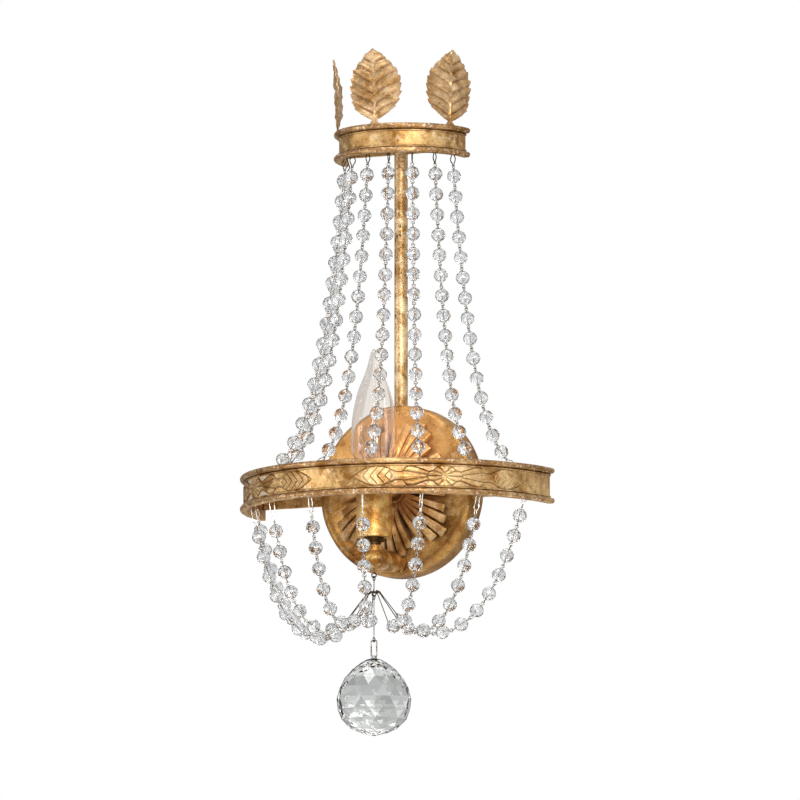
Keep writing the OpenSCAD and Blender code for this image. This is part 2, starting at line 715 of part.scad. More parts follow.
module candle_sleeve() {
    color(gold) translate([0, -arm_y, sleeve_z]) difference() {
        cylinder(d = sleeve_d, h = sleeve_h, $fn = big_fn);
        translate([0, 0, sleeve_t]) cylinder(d = sleeve_d - 2 * sleeve_t, h = sleeve_h, $fn = big_fn);
        translate([0, 0, -1]) cylinder(d = pipe_d + 2 * thread_gap, h = sleeve_t + 2, $fn = small_fn);
    }
}

// Candle socket: a moulded body on the nipple, a screw shell and a centre contact
shell_t = 0.4;
shell_d = bulb_screw_d + 0.6;
contact_t = 0.5;
module socket_body() {
    color([0.12, 0.12, 0.12]) translate([0, -arm_y, 0]) difference() {
        translate([0, 0, socket_z]) cylinder(d = socket_d, h = socket_top - socket_z, $fn = small_fn);
        translate([0, 0, socket_floor]) cylinder(d = shell_d + 2 * shell_t + 2 * seat, h = 40, $fn = small_fn);
        translate([0, 0, socket_z - 1]) cylinder(d = pipe_d + 2 * thread_gap, h = 7 + seat, $fn = small_fn);
        translate([0, 0, socket_z]) cylinder(d = pipe_bore, h = socket_floor - socket_z - 3, $fn = small_fn);
        for (s = [-1, 1]) translate([s * lead_side, 0, socket_z]) cylinder(d = lead_d + 0.4, h = 40, $fn = wire_fn);
    }
}

module socket_shell() {
    color(brass) translate([0, -arm_y, socket_floor + seat]) difference() {
        cylinder(d = shell_d + 2 * shell_t, h = socket_top - socket_floor - 0.5, $fn = small_fn);
        translate([0, 0, shell_t]) cylinder(d = shell_d, h = 40, $fn = small_fn);
        translate([0, 0, -1]) cylinder(d = 8, h = 3, $fn = small_fn);
    }
}

module socket_contact() {
    height = bulb_z - socket_floor - seat;
    color(brass) translate([0, -arm_y, socket_floor]) {
        translate([-2.6, -1.5, 0]) cube([5.2, 3, contact_t]);
        translate([-2.6, -1.5, 0]) cube([contact_t, 3, height]);
        translate([-2.6, -1.5, height - contact_t]) cube([5.2, 3, contact_t]);
    }
}

// Two lead wires run from the socket through the elbow and the arm into the backplate
lead_d = 1.8;
lead_side = 1.5;
lead_bend = 2.2;
module lead_wires() {
    back = pan_depth(arm_drop) - 11;
    top = socket_floor - seat;
    color([0.85, 0.85, 0.82]) for (s = [-1, 1]) translate([s * lead_side, 0, 0]) {
        translate([0, -arm_y, arm_z + lead_bend]) cylinder(d = lead_d, h = top - arm_z - lead_bend, $fn = wire_fn);
        translate([0, -arm_y + lead_bend, arm_z + lead_bend]) rotate([0, 90, 0]) rotate([0, 0, -90])
            rotate_extrude(angle = 90, $fn = small_fn) translate([lead_bend, 0]) circle(d = lead_d, $fn = wire_fn);
        off_wall(back, arm_z) cylinder(d = lead_d, h = arm_y - lead_bend - back, $fn = wire_fn);
    }
}

// Flame bulb. Its outline is given by radii at heights above the screw shell, as shares of the glass.
glass_z = bulb_z + 7;
neck_r = bulb_screw_d / 2 - 0.6;
glass_t = 0.7;
function flame(p) =
    let (q = (p - 0.36) / 0.64)
    p < 0.36 ? neck_r + (bulb_d / 2 - neck_r) * sin(90 * min(1, max(0, (p - 0.107) / 0.123)))
    : (bulb_d / 2) * cos(90 * q) * (1 - 0.1 * bump(q, 0.72, 0.22))
        + 0.9 * bump(p, 0.97, 0.1) * (p < 0.999 ? 1 : 0);
module bulb_glass() {
    steps = 28;
    h = bulb_top - glass_z;
    outer = [for (k = [0 : steps]) [max(k == steps ? 0 : 0.5, flame(k / steps)), h * k / steps]];
    inner = [for (k = [1 : steps - 2]) [max(0.4, flame(k / steps) - glass_t), h * k / steps]];
    last = len(inner) - 1;
    color([0.85, 0.86, 0.86, 0.4]) translate([0, -arm_y, glass_z]) difference() {
        rotate_extrude($fn = big_fn) polygon(concat([[0, 0]], outer));
        rotate_extrude($fn = big_fn) polygon(concat([[0, inner[0][1]]], inner, [[0, inner[last][1]]]));
        translate([0, 0, -1]) cylinder(r = 3.4, h = h / steps + 1.5, $fn = small_fn);
    }
}

module bulb_base() {
    screw_h = 13;
    color(brass) translate([0, -arm_y, bulb_z]) difference() {
        union() {
            translate([0, 0, 3]) cylinder(d = bulb_screw_d, h = screw_h, $fn = small_fn);
            translate([0, 0, 1]) cylinder(d1 = 6, d2 = bulb_screw_d - 0.4, h = 2, $fn = small_fn);
            cylinder(d = 5, h = 1.5, $fn = small_fn);
        }
        translate([0, 0, 4]) cylinder(r = neck_r + seat, h = 40, $fn = small_fn);
    }
}

// Glass stem, two supports and the filament, sealed in the bulb
module bulb_mount() {
    foot = glass_z - 0.6;
    bridge = glass_z + 0.42 * (bulb_top - glass_z);
    color([0.95, 0.93, 0.88]) translate([0, -arm_y, 0]) {
        translate([0, 0, foot]) cylinder(r = 3.2, h = 3.4, $fn = small_fn);
        translate([0, 0, foot + 3]) cylinder(r1 = 3, r2 = 1.6, h = 10, $fn = small_fn);
        for (s = [-1, 1]) translate([s * 1.1, 0, foot + 12]) rotate([0, s * 7, 0])
            cylinder(d = 0.6, h = bridge - foot - 12, $fn = wire_fn);
        translate([0, 0, bridge - 2.6]) wire_arc(3.4, 0.9, 180);
    }
}

module screw_eye() {
    top = elbow_bottom + 2.4;
    color([0.2, 0.18, 0.16]) translate([0, -arm_y, 0]) {
        translate([0, 0, screw_eye_z]) wire_arc(screw_eye_r, screw_eye_w);
        translate([0, 0, screw_eye_z + screw_eye_r])
            cylinder(d = screw_eye_w - 0.1, h = top - screw_eye_z - screw_eye_r, $fn = wire_fn);
    }
}

// Hanger: an eye through the screw eye, a shank, the gathering ring on its cross bar, and a foot eye
module hub_hanger() {
    color([0.3, 0.28, 0.26]) translate([0, -arm_y, 0]) {
        translate([0, 0, hanger_eye_z]) rotate([0, 0, 90]) wire_arc(hub_eye_r, hub_w);
        translate([0, 0, gather_z]) cylinder(d = hub_w - 0.1, h = hanger_eye_z - hub_eye_r - gather_z, $fn = wire_fn);
        translate([0, 0, gather_z]) rotate_extrude($fn = small_fn)
            translate([gather_r, 0]) circle(d = hub_w, $fn = wire_fn);
        translate([0, 0, gather_z]) rotate([90, 0, 0])
            cylinder(d = hub_w - 0.2, h = 2 * gather_r, center = true, $fn = wire_fn);
        translate([0, 0, gather_z - hub_eye_r]) wire_arc(hub_eye_r, hub_w);
    }
}

module pendant_wire() {
    top_eye = pendant_top_z - hub_eye_r;
    foot_eye = pendant_foot_z + hub_eye_r;
    color(steel) translate([0, -arm_y, 0]) {
        for (z = [top_eye, foot_eye]) translate([0, 0, z]) rotate([0, 0, 90]) wire_arc(hub_eye_r, hub_w);
        translate([0, 0, foot_eye + hub_eye_r])
            cylinder(d = hub_w - 0.1, h = top_eye - foot_eye - 2 * hub_eye_r, $fn = wire_fn);
    }
}

// Clip of the pendant: a tall loop with rounded corners, whose foot runs through the ball's hole
module pendant_clip() {
    x = clip_half_w - clip_corner;
    low = clip_foot_z + clip_corner;
    high = clip_top_z - clip_corner;
    color(steel) translate([0, -arm_y, 0]) {
        for (s = [0, 180]) translate([0, 0, (low + high) / 2]) rotate([0, s, 0]) translate([0, 0, -(low + high) / 2]) {
            translate([x, 0, high]) wire_arc(clip_corner, clip_w, 90);
            translate([-x, 0, high]) rotate([0, -90, 0]) wire_arc(clip_corner, clip_w, 90);
            translate([-x, 0, clip_top_z]) rotate([0, 90, 0]) cylinder(d = clip_w, h = 2 * x, $fn = wire_fn);
            translate([clip_half_w, 0, low]) cylinder(d = clip_w, h = high - low, $fn = wire_fn);
        }
    }
}

// Crystal ball: rings of facets, each a half step round from the last, under a drilled tip that
// stands between the legs of the clip
ball_sides = 14;
function ball_rings() = concat(
    [[ball_tip_r - 0.3, ball_hole_z + 1.25], [ball_tip_r, ball_hole_z + 1], [ball_tip_r, ball_hole_z - 0.95]],
    [[0.38 * ball_neck_r, ball_hole_z - 1.6], [0.7 * ball_neck_r, ball_hole_z - 4.1]],
    [for (k = [0 : 8]) let (a = asin(0.457) - 90 + k * (180 - 2 * asin(0.457)) / 8)
        [ball_d / 2 * cos(a), ball_mid_z - ball_d / 2 * sin(a)]],
    [[ball_d / 12, ball_mid_z - ball_d / 2 * 0.985]]
);
module crystal_ball() {
    rings = ball_rings();
    n = ball_sides;
    last = len(rings) - 1;
    points = [for (i = [0 : last], j = [0 : n - 1])
        let (a = (j + i % 2 / 2) * 360 / n) [rings[i][0] * cos(a), rings[i][0] * sin(a), rings[i][1]]];
    color(crystal) translate([0, -arm_y, 0]) difference() {
        polyhedron(
            points = points,
            faces = concat(
                [[for (j = [n - 1 : -1 : 0]) j]],
                [for (i = [0 : last - 1], j = [0 : n - 1])
                    let (a = i * n + j, b = i * n + (j + 1) % n, c = a + n, d = b + n)
                    each i % 2 == 0 ? [[a, b, c], [b, d, c]] : [[a, d, c], [a, b, d]]],
                [[for (j = [0 : n - 1]) last * n + j]]
            ),
            convexity = 4
        );
        translate([0, 0, ball_hole_z]) rotate([0, 90, 0])
            cylinder(d = ball_hole_d, h = 12, center = true, $fn = small_fn);
    }
}

crown_band();
crown_leaves();
stem_rod();
backplate();
rosette();
cap_nut();
mounting_strap();
strap_nipple();
lock_nuts();
ground_screw();
arm_tube();
elbow();
neck_nipple();
candle_sleeve();
socket_body();
socket_shell();
socket_contact();
lead_wires();
bulb_glass();
bulb_base();
bulb_mount();
ring_band();
garlands();
screw_eye();
hub_hanger();
pendant_wire();
pendant_clip();
crystal_ball();
for (i = [0 : 7]) {
    upper_beads(i);
    upper_wires(i);
    lower_beads(i);
    lower_wires(i);
}
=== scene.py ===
"""Crystal bead wall sconce: pieces, finishes and stage that dress its CAD frame.

Lengths are metres in the frame's own axes: the origin is the middle of the backplate on the wall, +Z is up
and -Y is the front. Angles round the two half-round bands are counted from the front, positive towards +X.
"""

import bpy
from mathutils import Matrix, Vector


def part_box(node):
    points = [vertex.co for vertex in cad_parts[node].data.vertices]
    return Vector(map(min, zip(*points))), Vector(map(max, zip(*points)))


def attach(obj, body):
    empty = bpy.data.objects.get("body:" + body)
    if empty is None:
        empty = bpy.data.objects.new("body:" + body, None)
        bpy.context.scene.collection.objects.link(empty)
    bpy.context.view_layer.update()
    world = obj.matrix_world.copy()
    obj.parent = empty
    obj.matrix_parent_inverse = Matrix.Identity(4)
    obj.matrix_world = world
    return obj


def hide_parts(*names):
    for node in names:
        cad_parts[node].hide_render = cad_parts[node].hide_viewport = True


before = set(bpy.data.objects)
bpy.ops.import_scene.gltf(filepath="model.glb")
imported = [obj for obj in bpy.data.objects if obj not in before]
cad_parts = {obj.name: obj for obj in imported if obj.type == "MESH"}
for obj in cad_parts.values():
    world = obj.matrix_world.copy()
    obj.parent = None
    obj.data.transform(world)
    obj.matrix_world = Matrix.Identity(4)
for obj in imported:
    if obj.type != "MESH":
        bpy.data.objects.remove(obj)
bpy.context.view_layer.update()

import random
from math import atan, atan2, cos, floor, hypot, pi, radians, sin, sqrt

import bmesh
import bpy
from bpy.props import FloatProperty, FloatVectorProperty, IntProperty, IntVectorProperty, PointerProperty
from mathutils import Matrix, Vector, noise

bl_info = {
    "name": "Crystal Bead Sconce",
    "version": (1, 0, 0),
    "blender": (4, 5, 0),
    "location": "3D View > Sidebar > Sconce",
    "description": "Dresses the frame of a crystal bead wall sconce",
    "category": "Add Mesh",
}

MM = 0.001


# ---- Shapes ----

def mix(a, b, share):
    return a + (b - a) * share


def step(low, high, value):
    """0 below low, 1 above high, and a smooth rise between them."""
    t = min(1.0, max(0.0, (value - low) / (high - low)))
    return t * t * (3 - 2 * t)


def round_bump(x, middle, width):
    d = (x - middle) / width
    return cos(pi / 2 * d) ** 2 if abs(d) < 1 else 0.0


def from_table(table, x):
    """Value at x of a smooth line through pairs of (x, value)."""
    if x <= table[0][0]:
        return table[0][1]
    for (x0, y0), (x1, y1) in zip(table, table[1:]):
        if x <= x1:
            return mix(y0, y1, step(0, 1, (x - x0) / (x1 - x0)) * 0.5 + (x - x0) / (x1 - x0) * 0.5)
    return table[-1][1]


def arc(middle, radius, start, end, count):
    """Points of a circle's arc in a plane, from one angle in degrees to another."""
    turns = [radians(mix(start, end, k / count)) for k in range(count + 1)]
    return [(middle[0] + radius * cos(a), middle[1] + radius * sin(a)) for a in turns]


def circle(radius, sides):
    return arc((0, 0), radius, 0, 360 - 360 / sides, sides - 1)


def closed_sheet(front, back):
    """A sheet with two faces and an edge, from two grids of points of the same size."""
    rows, cols = len(front), len(front[0])
    n = rows * cols
    points = [p for row in front for p in row] + [p for row in back for p in row]
    faces = []
    for i in range(rows - 1):
        for j in range(cols - 1):
            a = i * cols + j
            faces.append((a, a + 1, a + cols + 1, a + cols))
            faces.append((n + a, n + a + cols, n + a + cols + 1, n + a + 1))
    edge = list(range(cols)) + [i * cols + cols - 1 for i in range(1, rows)]
    edge += [(rows - 1) * cols + j for j in range(cols - 2, -1, -1)] + [i * cols for i in range(rows - 2, 0, -1)]
    for a, b in zip(edge, edge[1:] + edge[:1]):
        faces.append((b, a, n + a, n + b))
    return points, faces


def swept(section, places, closed=False):
    """A closed section carried through a list of places, each a function from (x, y) to a point."""
    n = len(section)
    points = [place(x, y) for place in places for x, y in section]
    faces = []
    rings = len(places)
    for i in range(rings if closed else rings - 1):
        for j in range(n):
            a, b = i * n + j, i * n + (j + 1) % n
            c, d = (i + 1) % rings * n + j, (i + 1) % rings * n + (j + 1) % n
            faces.append((a, b, d, c))
    if not closed:
        faces.append(tuple(range(n - 1, -1, -1)))
        faces.append(tuple((rings - 1) * n + j for j in range(n)))
    return points, faces


def tube(path, radius, sides=8, closed=False):
    """A round wire along a path of points. Its section turns as little as it can on the way."""
    path = [Vector(p) for p in path]
    count = len(path)
    ways = []
    for k in range(count):
        before = path[k - 1] if (k or closed) else path[0]
        after = path[(k + 1) % count] if (k < count - 1 or closed) else path[-1]
        ways.append((after - before).normalized())
    side = ways[0].orthogonal().normalized()
    places = []
    for point, way in zip(path, ways):
        side = (side - way * side.dot(way)).normalized()
        places.append(lambda x, y, p=point, s=side, u=way.cross(side): p + s * x + u * y)
    return swept(circle(radius, sides), places, closed)


def turned(outline, turns=96):
    """A turned part about the Z axis, from a closed outline of (radius, height) away from the axis."""
    places = []
    for k in range(turns):
        a = 2 * pi * k / turns
        places.append(lambda r, z, c=cos(a), s=sin(a): Vector((r * c, r * s, z)))
    return swept(outline, places, True)


def flat_plate(outline, holes, depth, bevel):
    """A flat plate in the XY plane with holes and softened edges, cut from a filled curve."""
    curve = bpy.data.curves.new("plate_outline", "CURVE")
    curve.dimensions = "2D"
    curve.fill_mode = "BOTH"
    curve.extrude = depth / 2 - bevel
    curve.bevel_depth = bevel
    curve.bevel_resolution = 2
    curve.offset = -bevel
    for line in [outline, *holes]:
        spline = curve.splines.new("POLY")
        spline.points.add(len(line) - 1)
        for point, (x, y) in zip(spline.points, line):
            point.co = (x, y, 0, 1)
        spline.use_cyclic_u = True
    holder = bpy.data.objects.new("plate_outline", curve)
    mesh = bpy.data.meshes.new_from_object(holder)
    parts = [v.co.copy() for v in mesh.vertices], [tuple(p.vertices) for p in mesh.polygons]
    bpy.data.objects.remove(holder)
    bpy.data.curves.remove(curve)
    bpy.data.meshes.remove(mesh)
    return parts


def moved(part, matrix):
    return [matrix @ Vector(p) for p in part[0]], part[1]


def joined(parts):
    points, faces = [], []
    for more_points, more_faces in parts:
        start = len(points)
        points.extend(more_points)
        faces.extend(tuple(start + v for v in face) for face in more_faces)
    return points, faces


def make_mesh(name, part, crease=35):
    """A mesh with its faces turned outwards, smooth but for edges sharper than the crease in degrees."""
    mesh = bpy.data.meshes.new(name)
    mesh.from_pydata([tuple(p) for p in part[0]], [], part[1])
    work = bmesh.new()
    work.from_mesh(mesh)
    bmesh.ops.remove_doubles(work, verts=work.verts, dist=1e-7)
    bmesh.ops.recalc_face_normals(work, faces=work.faces)
    work.to_mesh(mesh)
    work.free()
    mesh.polygons.foreach_set("use_smooth", [crease > 0] * len(mesh.polygons))
    if crease:
        mesh.set_sharp_from_angle(angle=radians(crease))
    mesh.update()
    return mesh


def mark(mesh, name, values, domain="POINT"):
    mesh.attributes.new(name, "FLOAT", domain).data.foreach_set("value", values)


def place_piece(name, mesh, body, finish, nodes):
    """Adds a piece to the scene, on its body, in place of the CAD nodes that it stands for."""
    piece = bpy.data.objects.new(name, mesh)
    bpy.context.scene.collection.objects.link(piece)
    mesh.materials.append(finish)
    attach(piece, body)
    if nodes:
        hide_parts(*nodes)
    return piece


def cut_away(mesh, cutters):
    """The mesh with other closed meshes cut away."""
    holder = bpy.data.objects.new("to_cut", mesh)
    bpy.context.scene.collection.objects.link(holder)
    tools = []
    for k, part in enumerate(cutters):
        tool = bpy.data.objects.new(f"cutter_{k}", make_mesh(f"cutter_{k}", part))
        bpy.context.scene.collection.objects.link(tool)
        cut = holder.modifiers.new("cut", "BOOLEAN")
        cut.operation, cut.solver, cut.object = "DIFFERENCE", "EXACT", tool
        tools.append(tool)
    bpy.context.view_layer.update()
    made = bpy.data.meshes.new_from_object(holder.evaluated_get(bpy.context.evaluated_depsgraph_get()))
    for extra in [holder, *tools]:
        spare = extra.data
        bpy.data.objects.remove(extra)
        bpy.data.meshes.remove(spare)
    made.polygons.foreach_set("use_smooth", [True] * len(made.polygons))
    made.set_sharp_from_angle(angle=radians(35))
    return made


# ---- Finishes ----

def screen(red, green, blue):
    """A linear colour from the 0 to 255 values seen on a screen."""
    def lin(value):
        c = value / 255
        return c / 12.92 if c <= 0.04045 else ((c + 0.055) / 1.055) ** 2.4
    return (lin(red), lin(green), lin(blue), 1.0)


class Nodes:
    """Adds nodes to a tree and joins them in a short form."""

    def __init__(self, tree):
        self.tree = tree
        tree.nodes.clear()

    def add(self, kind, **values):
        node = self.tree.nodes.new(kind)
        for key, value in values.items():
            setattr(node, key, value)
        return node

    def join(self, source, target):
        if isinstance(source, (int, float, tuple)):
            target.default_value = source
        else:
            self.tree.links.new(source, target)

    def chain(self, kind, *sources, **values):
        """A node with its first inputs joined or set in order. Gives its first output."""
        node = self.add(kind, **values)
        for source, target in zip(sources, node.inputs):
            self.join(source, target)
        return node.outputs[0]

    def fit(self, value, low, high, out_low=0.0, out_high=1.0, rise="SMOOTHSTEP"):
        """Takes low to high smoothly to out_low to out_high."""
        node = self.add("ShaderNodeMapRange", interpolation_type=rise)
        for socket, number in zip(("From Min", "From Max", "To Min", "To Max"), (low, high, out_low, out_high)):
            node.inputs[socket].default_value = number
        self.join(value, node.inputs["Value"])
        return node.outputs["Result"]

    def sums(self, kind, *values):
        return self.chain("ShaderNodeMath", *values, operation=kind)

    def times(self, a, b):
        return self.sums("MULTIPLY", a, b)

    def ramp(self, value, stops):
        """A colour from pairs of (position, colour)."""
        node = self.add("ShaderNodeValToRGB")
        made = node.color_ramp.elements
        made[0].position, made[0].color = stops[0]
        made[1].position, made[1].color = stops[-1]
        for position, colour in stops[1:-1]:
            made.new(position).color = colour
        self.join(value, node.inputs[0])
        return node.outputs[0]


class Finish(Nodes):
    """Builds one material."""

    def __init__(self, name):
        self.material = bpy.data.materials.new(name)
        self.material.use_nodes = True
        super().__init__(self.material.node_tree)
        self.shader = self.add("ShaderNodeBsdfPrincipled")
        output = self.add("ShaderNodeOutputMaterial")
        self.join(self.shader.outputs[0], output.inputs["Surface"])
        self.place = self.add("ShaderNodeTexCoord").outputs["Object"]

    def clouds(self, scale, detail=4.0, rough=0.6, warp=0.0):
        """Soft noise, scale in bumps to the metre."""
        node = self.add("ShaderNodeTexNoise")
        self.join(self.place, node.inputs["Vector"])
        node.inputs["Scale"].default_value = scale
        node.inputs["Detail"].default_value = detail
        node.inputs["Roughness"].default_value = rough
        node.inputs["Distortion"].default_value = warp
        return node.outputs["Fac"]

    def blend(self, share, a, b):
        node = self.add("ShaderNodeMix", data_type="RGBA")
        self.join(share, node.inputs["Factor"])
        self.join(a, node.inputs["A"])
        self.join(b, node.inputs["B"])
        return node.outputs["Result"]

    def hollows(self, reach, inside=False, alone=True):
        """1 on open faces and less in hollows, or on edges with inside."""
        node = self.add("ShaderNodeAmbientOcclusion", samples=6, inside=inside, only_local=alone)
        node.inputs["Distance"].default_value = reach
        return node.outputs["AO"]

    def painted(self, name):
        """A mark that the mesh carries as an attribute."""
        node = self.add("ShaderNodeAttribute", attribute_type="GEOMETRY", attribute_name=name)
        return node.outputs["Fac"]

    def relief(self, height, depth, strength=1.0):
        node = self.add("ShaderNodeBump")
        node.inputs["Strength"].default_value = strength
        node.inputs["Distance"].default_value = depth
        self.join(height, node.inputs["Height"])
        self.join(node.outputs[0], self.shader.inputs["Normal"])

    def set(self, **values):
        for key, value in values.items():
            self.join(value, self.shader.inputs[key.replace("_", " ")])
        return self


def full(colour, shade=(1.0, 1.0, 1.0)):
    """A property's colour with its alpha, brighter or darker by shade."""
    return tuple(min(1.0, c * s) for c, s in zip(colour, shade)) + (1.0,)


# Painted light: middle of the pool of the bulb's warm light painted on the plate and rosette.
GLOW_MIDDLE = (0, -0.02, 0.022)   # where the bulb's warm tone lies on the plate


def gold_leaf(name, shade=(1.0, 1.0, 1.0), speckle=0.5, worn=0.5, glow=0.0, mottle=1.0, reach=0.0035,
              shaded=False, ground=False, outline=False):
    """Old gold leaf over brown size: cloudy tone, rubbed edges, fine dark specks, and painted shade in its hollows.
    """
    f, finish = Finish(name), bpy.context.scene.sconce_finish
    broad = f.clouds(48, 5, 0.62, warp=0.4)
    middle = f.clouds(190, 5, 0.65)
    fine = f.clouds(820, 3, 0.6)
    tone = f.sums("ADD", f.times(broad, 0.42), f.times(middle, 0.33))
    tone = f.fit(f.sums("ADD", tone, f.times(fine, 0.25)), 0.5 - 0.1 / mottle, 0.5 + 0.1 / mottle)
    brown, shade_brown = full(finish.brown), full(finish.shade_brown)
    colour = f.blend(tone, full(finish.deep_gold, shade), full(finish.pale_gold, shade))
    rubbed = f.fit(f.times(f.clouds(95, 6, 0.7), f.clouds(340, 3, 0.6)), 0.27, 0.40)
    colour = f.blend(f.times(rubbed, 0.5 * mottle), colour, full(finish.rub_gold))
    # Painted shade: brown darkening in the piece's own hollows, found by an ambient occlusion test.
    hollow = f.fit(f.hollows(reach), 0.22, 0.86, 1.0, 0.0)
    # Painted shadow: with shaded, also darker where other parts stand close by.
    if shaded:
        hollow = f.sums("MAXIMUM", hollow, f.fit(f.hollows(0.012, alone=False), 0.12, 0.62, 1.0, 0.0))
    colour = f.blend(f.times(hollow, 0.9), colour, brown)
    if worn:
        edge = f.fit(f.hollows(0.0016, True), 0.25, 0.75, 1.0, 0.0)
        patchy = f.times(edge, f.fit(middle, 0.42, 0.6))
        colour = f.blend(f.times(patchy, worn), colour, full(finish.red_brown))
    # Painted light and shade: the bulb's warm light painted round GLOW_MIDDLE, and painted shade darkening the gold
    # far from it, towards the rim.
    if glow:
        away = f.add("ShaderNodeVectorMath", operation="DISTANCE")
        f.join(f.place, away.inputs[0])
        away.inputs[1].default_value = GLOW_MIDDLE
        near = f.fit(away.outputs["Value"], 0.012, 0.066, glow, 0.0)
        far = f.times(f.fit(away.outputs["Value"], 0.05, 0.086, 0.0, 0.6), f.fit(middle, 0.36, 0.6, 0.35, 1.0))
        colour = f.blend(far, colour, shade_brown)
        colour = f.blend(near, colour, full(finish.bulb_light_gold))
    if ground:
        chips = f.blend(f.fit(f.clouds(420, 4, 0.7), 0.5, 0.62), full(finish.rim_brown),
                        full(finish.rub_gold))
        colour = f.blend(f.times(f.painted("rim"), f.fit(middle, 0.44, 0.56, 0.08, 0.85)), colour, chips)
        # Painted highlight: cream patches on the garlands' ground, where the sunken web catches the light.
        colour = f.blend(f.painted("ground"), colour, full(finish.cream_highlight))
    # Painted shade: dark brown lines along the garlands' outlines and creases, where their grooves fall in shade.
    if outline:
        colour = f.blend(f.times(f.painted("outline"), 0.8), colour, shade_brown)
    specks = f.fit(f.times(fine, f.fit(broad, 0.3, 0.7, 1.12, 0.9)), 0.60, 0.69)
    colour = f.blend(f.times(specks, speckle), colour, brown)
    rough = f.sums("ADD", f.fit(middle, 0.35, 0.65, finish.gloss, finish.gloss + 0.2), f.times(specks, 0.2))
    f.set(Base_Color=colour, Roughness=rough, Metallic=0.88)
    f.shader.inputs["Coat Weight"].default_value = 0.08
    f.shader.inputs["Coat Roughness"].default_value = 0.3
    height = f.sums("SUBTRACT", f.sums("ADD", f.times(middle, 0.7), f.times(fine, 0.3)),
                    f.times(specks, 0.5))
    f.relief(height, 0.0006, 0.75)
    return f.material


def plain_metal(name, colour, dark, gloss, scale=400):
    """Bare metal with faint scratches, darker in its hollows."""
    f = Finish(name)
    marks = f.clouds(scale, 4, 0.6)
    tone = f.blend(f.fit(marks, 0.35, 0.65), dark, colour)
    hollow = f.fit(f.hollows(0.0012), 0.35, 0.9, 0.75, 0.0)
    f.set(Base_Color=f.blend(hollow, tone, tuple(c * 0.25 for c in dark[:3]) + (1.0,)),
          Roughness=f.fit(marks, 0.3, 0.7, gloss, gloss + 0.18), Metallic=1.0)
    f.relief(marks, 0.0001, 0.4)
    return f.material


def moulded(name, colour, gloss, scale=900):
    """Moulded or dipped material, faintly uneven."""
    f = Finish(name)
    marks = f.clouds(scale, 3, 0.55)
    darker = tuple(c * 0.72 for c in colour[:3]) + (1.0,)
    f.set(Base_Color=f.blend(f.fit(marks, 0.35, 0.65), darker, colour),
          Roughness=f.fit(marks, 0.3, 0.7, gloss, gloss + 0.15), Metallic=0.0)
    f.relief(marks, 0.0001, 0.35)
    return f.material


CRYSTAL_IOR, BULB_IOR = 1.54, 1.46


def cut_glass(name, tint, ior, haze=0.0, marks=True, facets=None):
    """Clear glass, with faint waves or a painted shade and highlight for each facet that break up what shows through
    it.
    """
    f = Finish(name)
    waves = f.clouds(320, 2, 0.5)
    # Painted shade and highlight: each facet gets its own grey, standing in for the light that leaves it.
    if facets:
        tint = f.blend(f.fit(f.painted("facet"), 0.25, 0.75), facets, tint)
    f.set(Base_Color=tint, Metallic=0.0, Roughness=f.fit(waves, 0.3, 0.7, haze, haze + 0.03))
    f.shader.inputs["IOR"].default_value = ior
    f.shader.inputs["Transmission Weight"].default_value = 1.0
    if marks:
        f.relief(waves, 0.0003, 0.12)
    return f.material


# ---- What a user may change ----

def length(value, name, description):
    return FloatProperty(name=name, description=description, default=value, min=0.0, unit="LENGTH",
                         subtype="DISTANCE")


def colour(value, name, description):
    return FloatVectorProperty(name=name, description=description, default=value[:3], size=3, min=0.0, max=1.0,
                               subtype="COLOR")


class SconceBands(bpy.types.PropertyGroup):
    """Sizes of the ring, the crown and their leaves and garlands"""
    ring_radius: length(0.117, "Ring radius", "Outer radius of the lower ring, over its rims")
    ring_height: length(0.025, "Ring height", "Height of the lower ring")
    ring_middle: FloatProperty(name="Ring middle", description="Height of the ring's middle", default=-0.001,
                               unit="LENGTH", subtype="DISTANCE")
    crown_radius: length(0.051, "Crown radius", "Outer radius of the crown, over its rims")
    crown_height: length(0.021, "Crown height", "Height of the crown's band")
    crown_middle: length(0.2465, "Crown middle", "Height of the crown's middle")
    web: length(0.0015, "Web", "Thickness of the web of both bands")
    rim_height: length(0.0039, "Rim height", "Height of a rolled rim")
    rim_out: length(0.0037, "Rim", "How far a rim stands out from its web")
    wall_gap: length(0.001, "Wall gap", "Gap between the wall and the ends of the bands")
    bar_height: length(0.0105, "Bar height", "Height of the flat bar at the back of a band")
    bar_thick: length(0.003, "Bar", "Thickness of that bar")
    leaf_height: length(0.053, "Leaf height", "Height of a crown leaf")
    leaf_width: length(0.0395, "Leaf width", "Width of a crown leaf")
    leaf_sheet: length(0.0011, "Leaf sheet", "Sheet thickness of a crown leaf")
    leaf_angle: FloatProperty(name="Leaf angle", description="Angle of the side leaves from the front",
                              default=radians(67), subtype="ANGLE")
    leaf_teeth: IntProperty(name="Leaf teeth", description="Teeth on each side of a leaf", default=9, min=3)
    leaf_veins: IntProperty(name="Leaf veins", description="Veins on each side of a leaf", default=7, min=3)
    garland_angle: FloatProperty(name="Garland angle", description="Angle of a garland's middle from the front",
                                 default=radians(41), subtype="ANGLE")
    garland_length: length(0.130, "Garland length", "Length of a garland along the web")
    garland_relief: length(0.0016, "Garland relief", "Relief of a garland over the web")


class SconcePlate(bpy.types.PropertyGroup):
    """Sizes of the backplate and its rosette"""
    radius: length(0.0608, "Plate radius", "Outer radius of the backplate")
    side: length(0.012, "Plate side", "Depth of the backplate's straight side")
    depth: length(0.020, "Plate depth", "Depth of the backplate at its middle")
    sheet: length(0.0012, "Plate sheet", "Sheet thickness of the backplate")
    rosette_radius: length(0.052, "Rosette radius", "Radius of the rosette over its leaf tips")
    rosette_leaves: IntProperty(name="Rosette leaves", description="Leaves of the rosette", default=7, min=3)
    rosette_sheet: length(0.0014, "Rosette sheet", "Sheet thickness of the rosette")


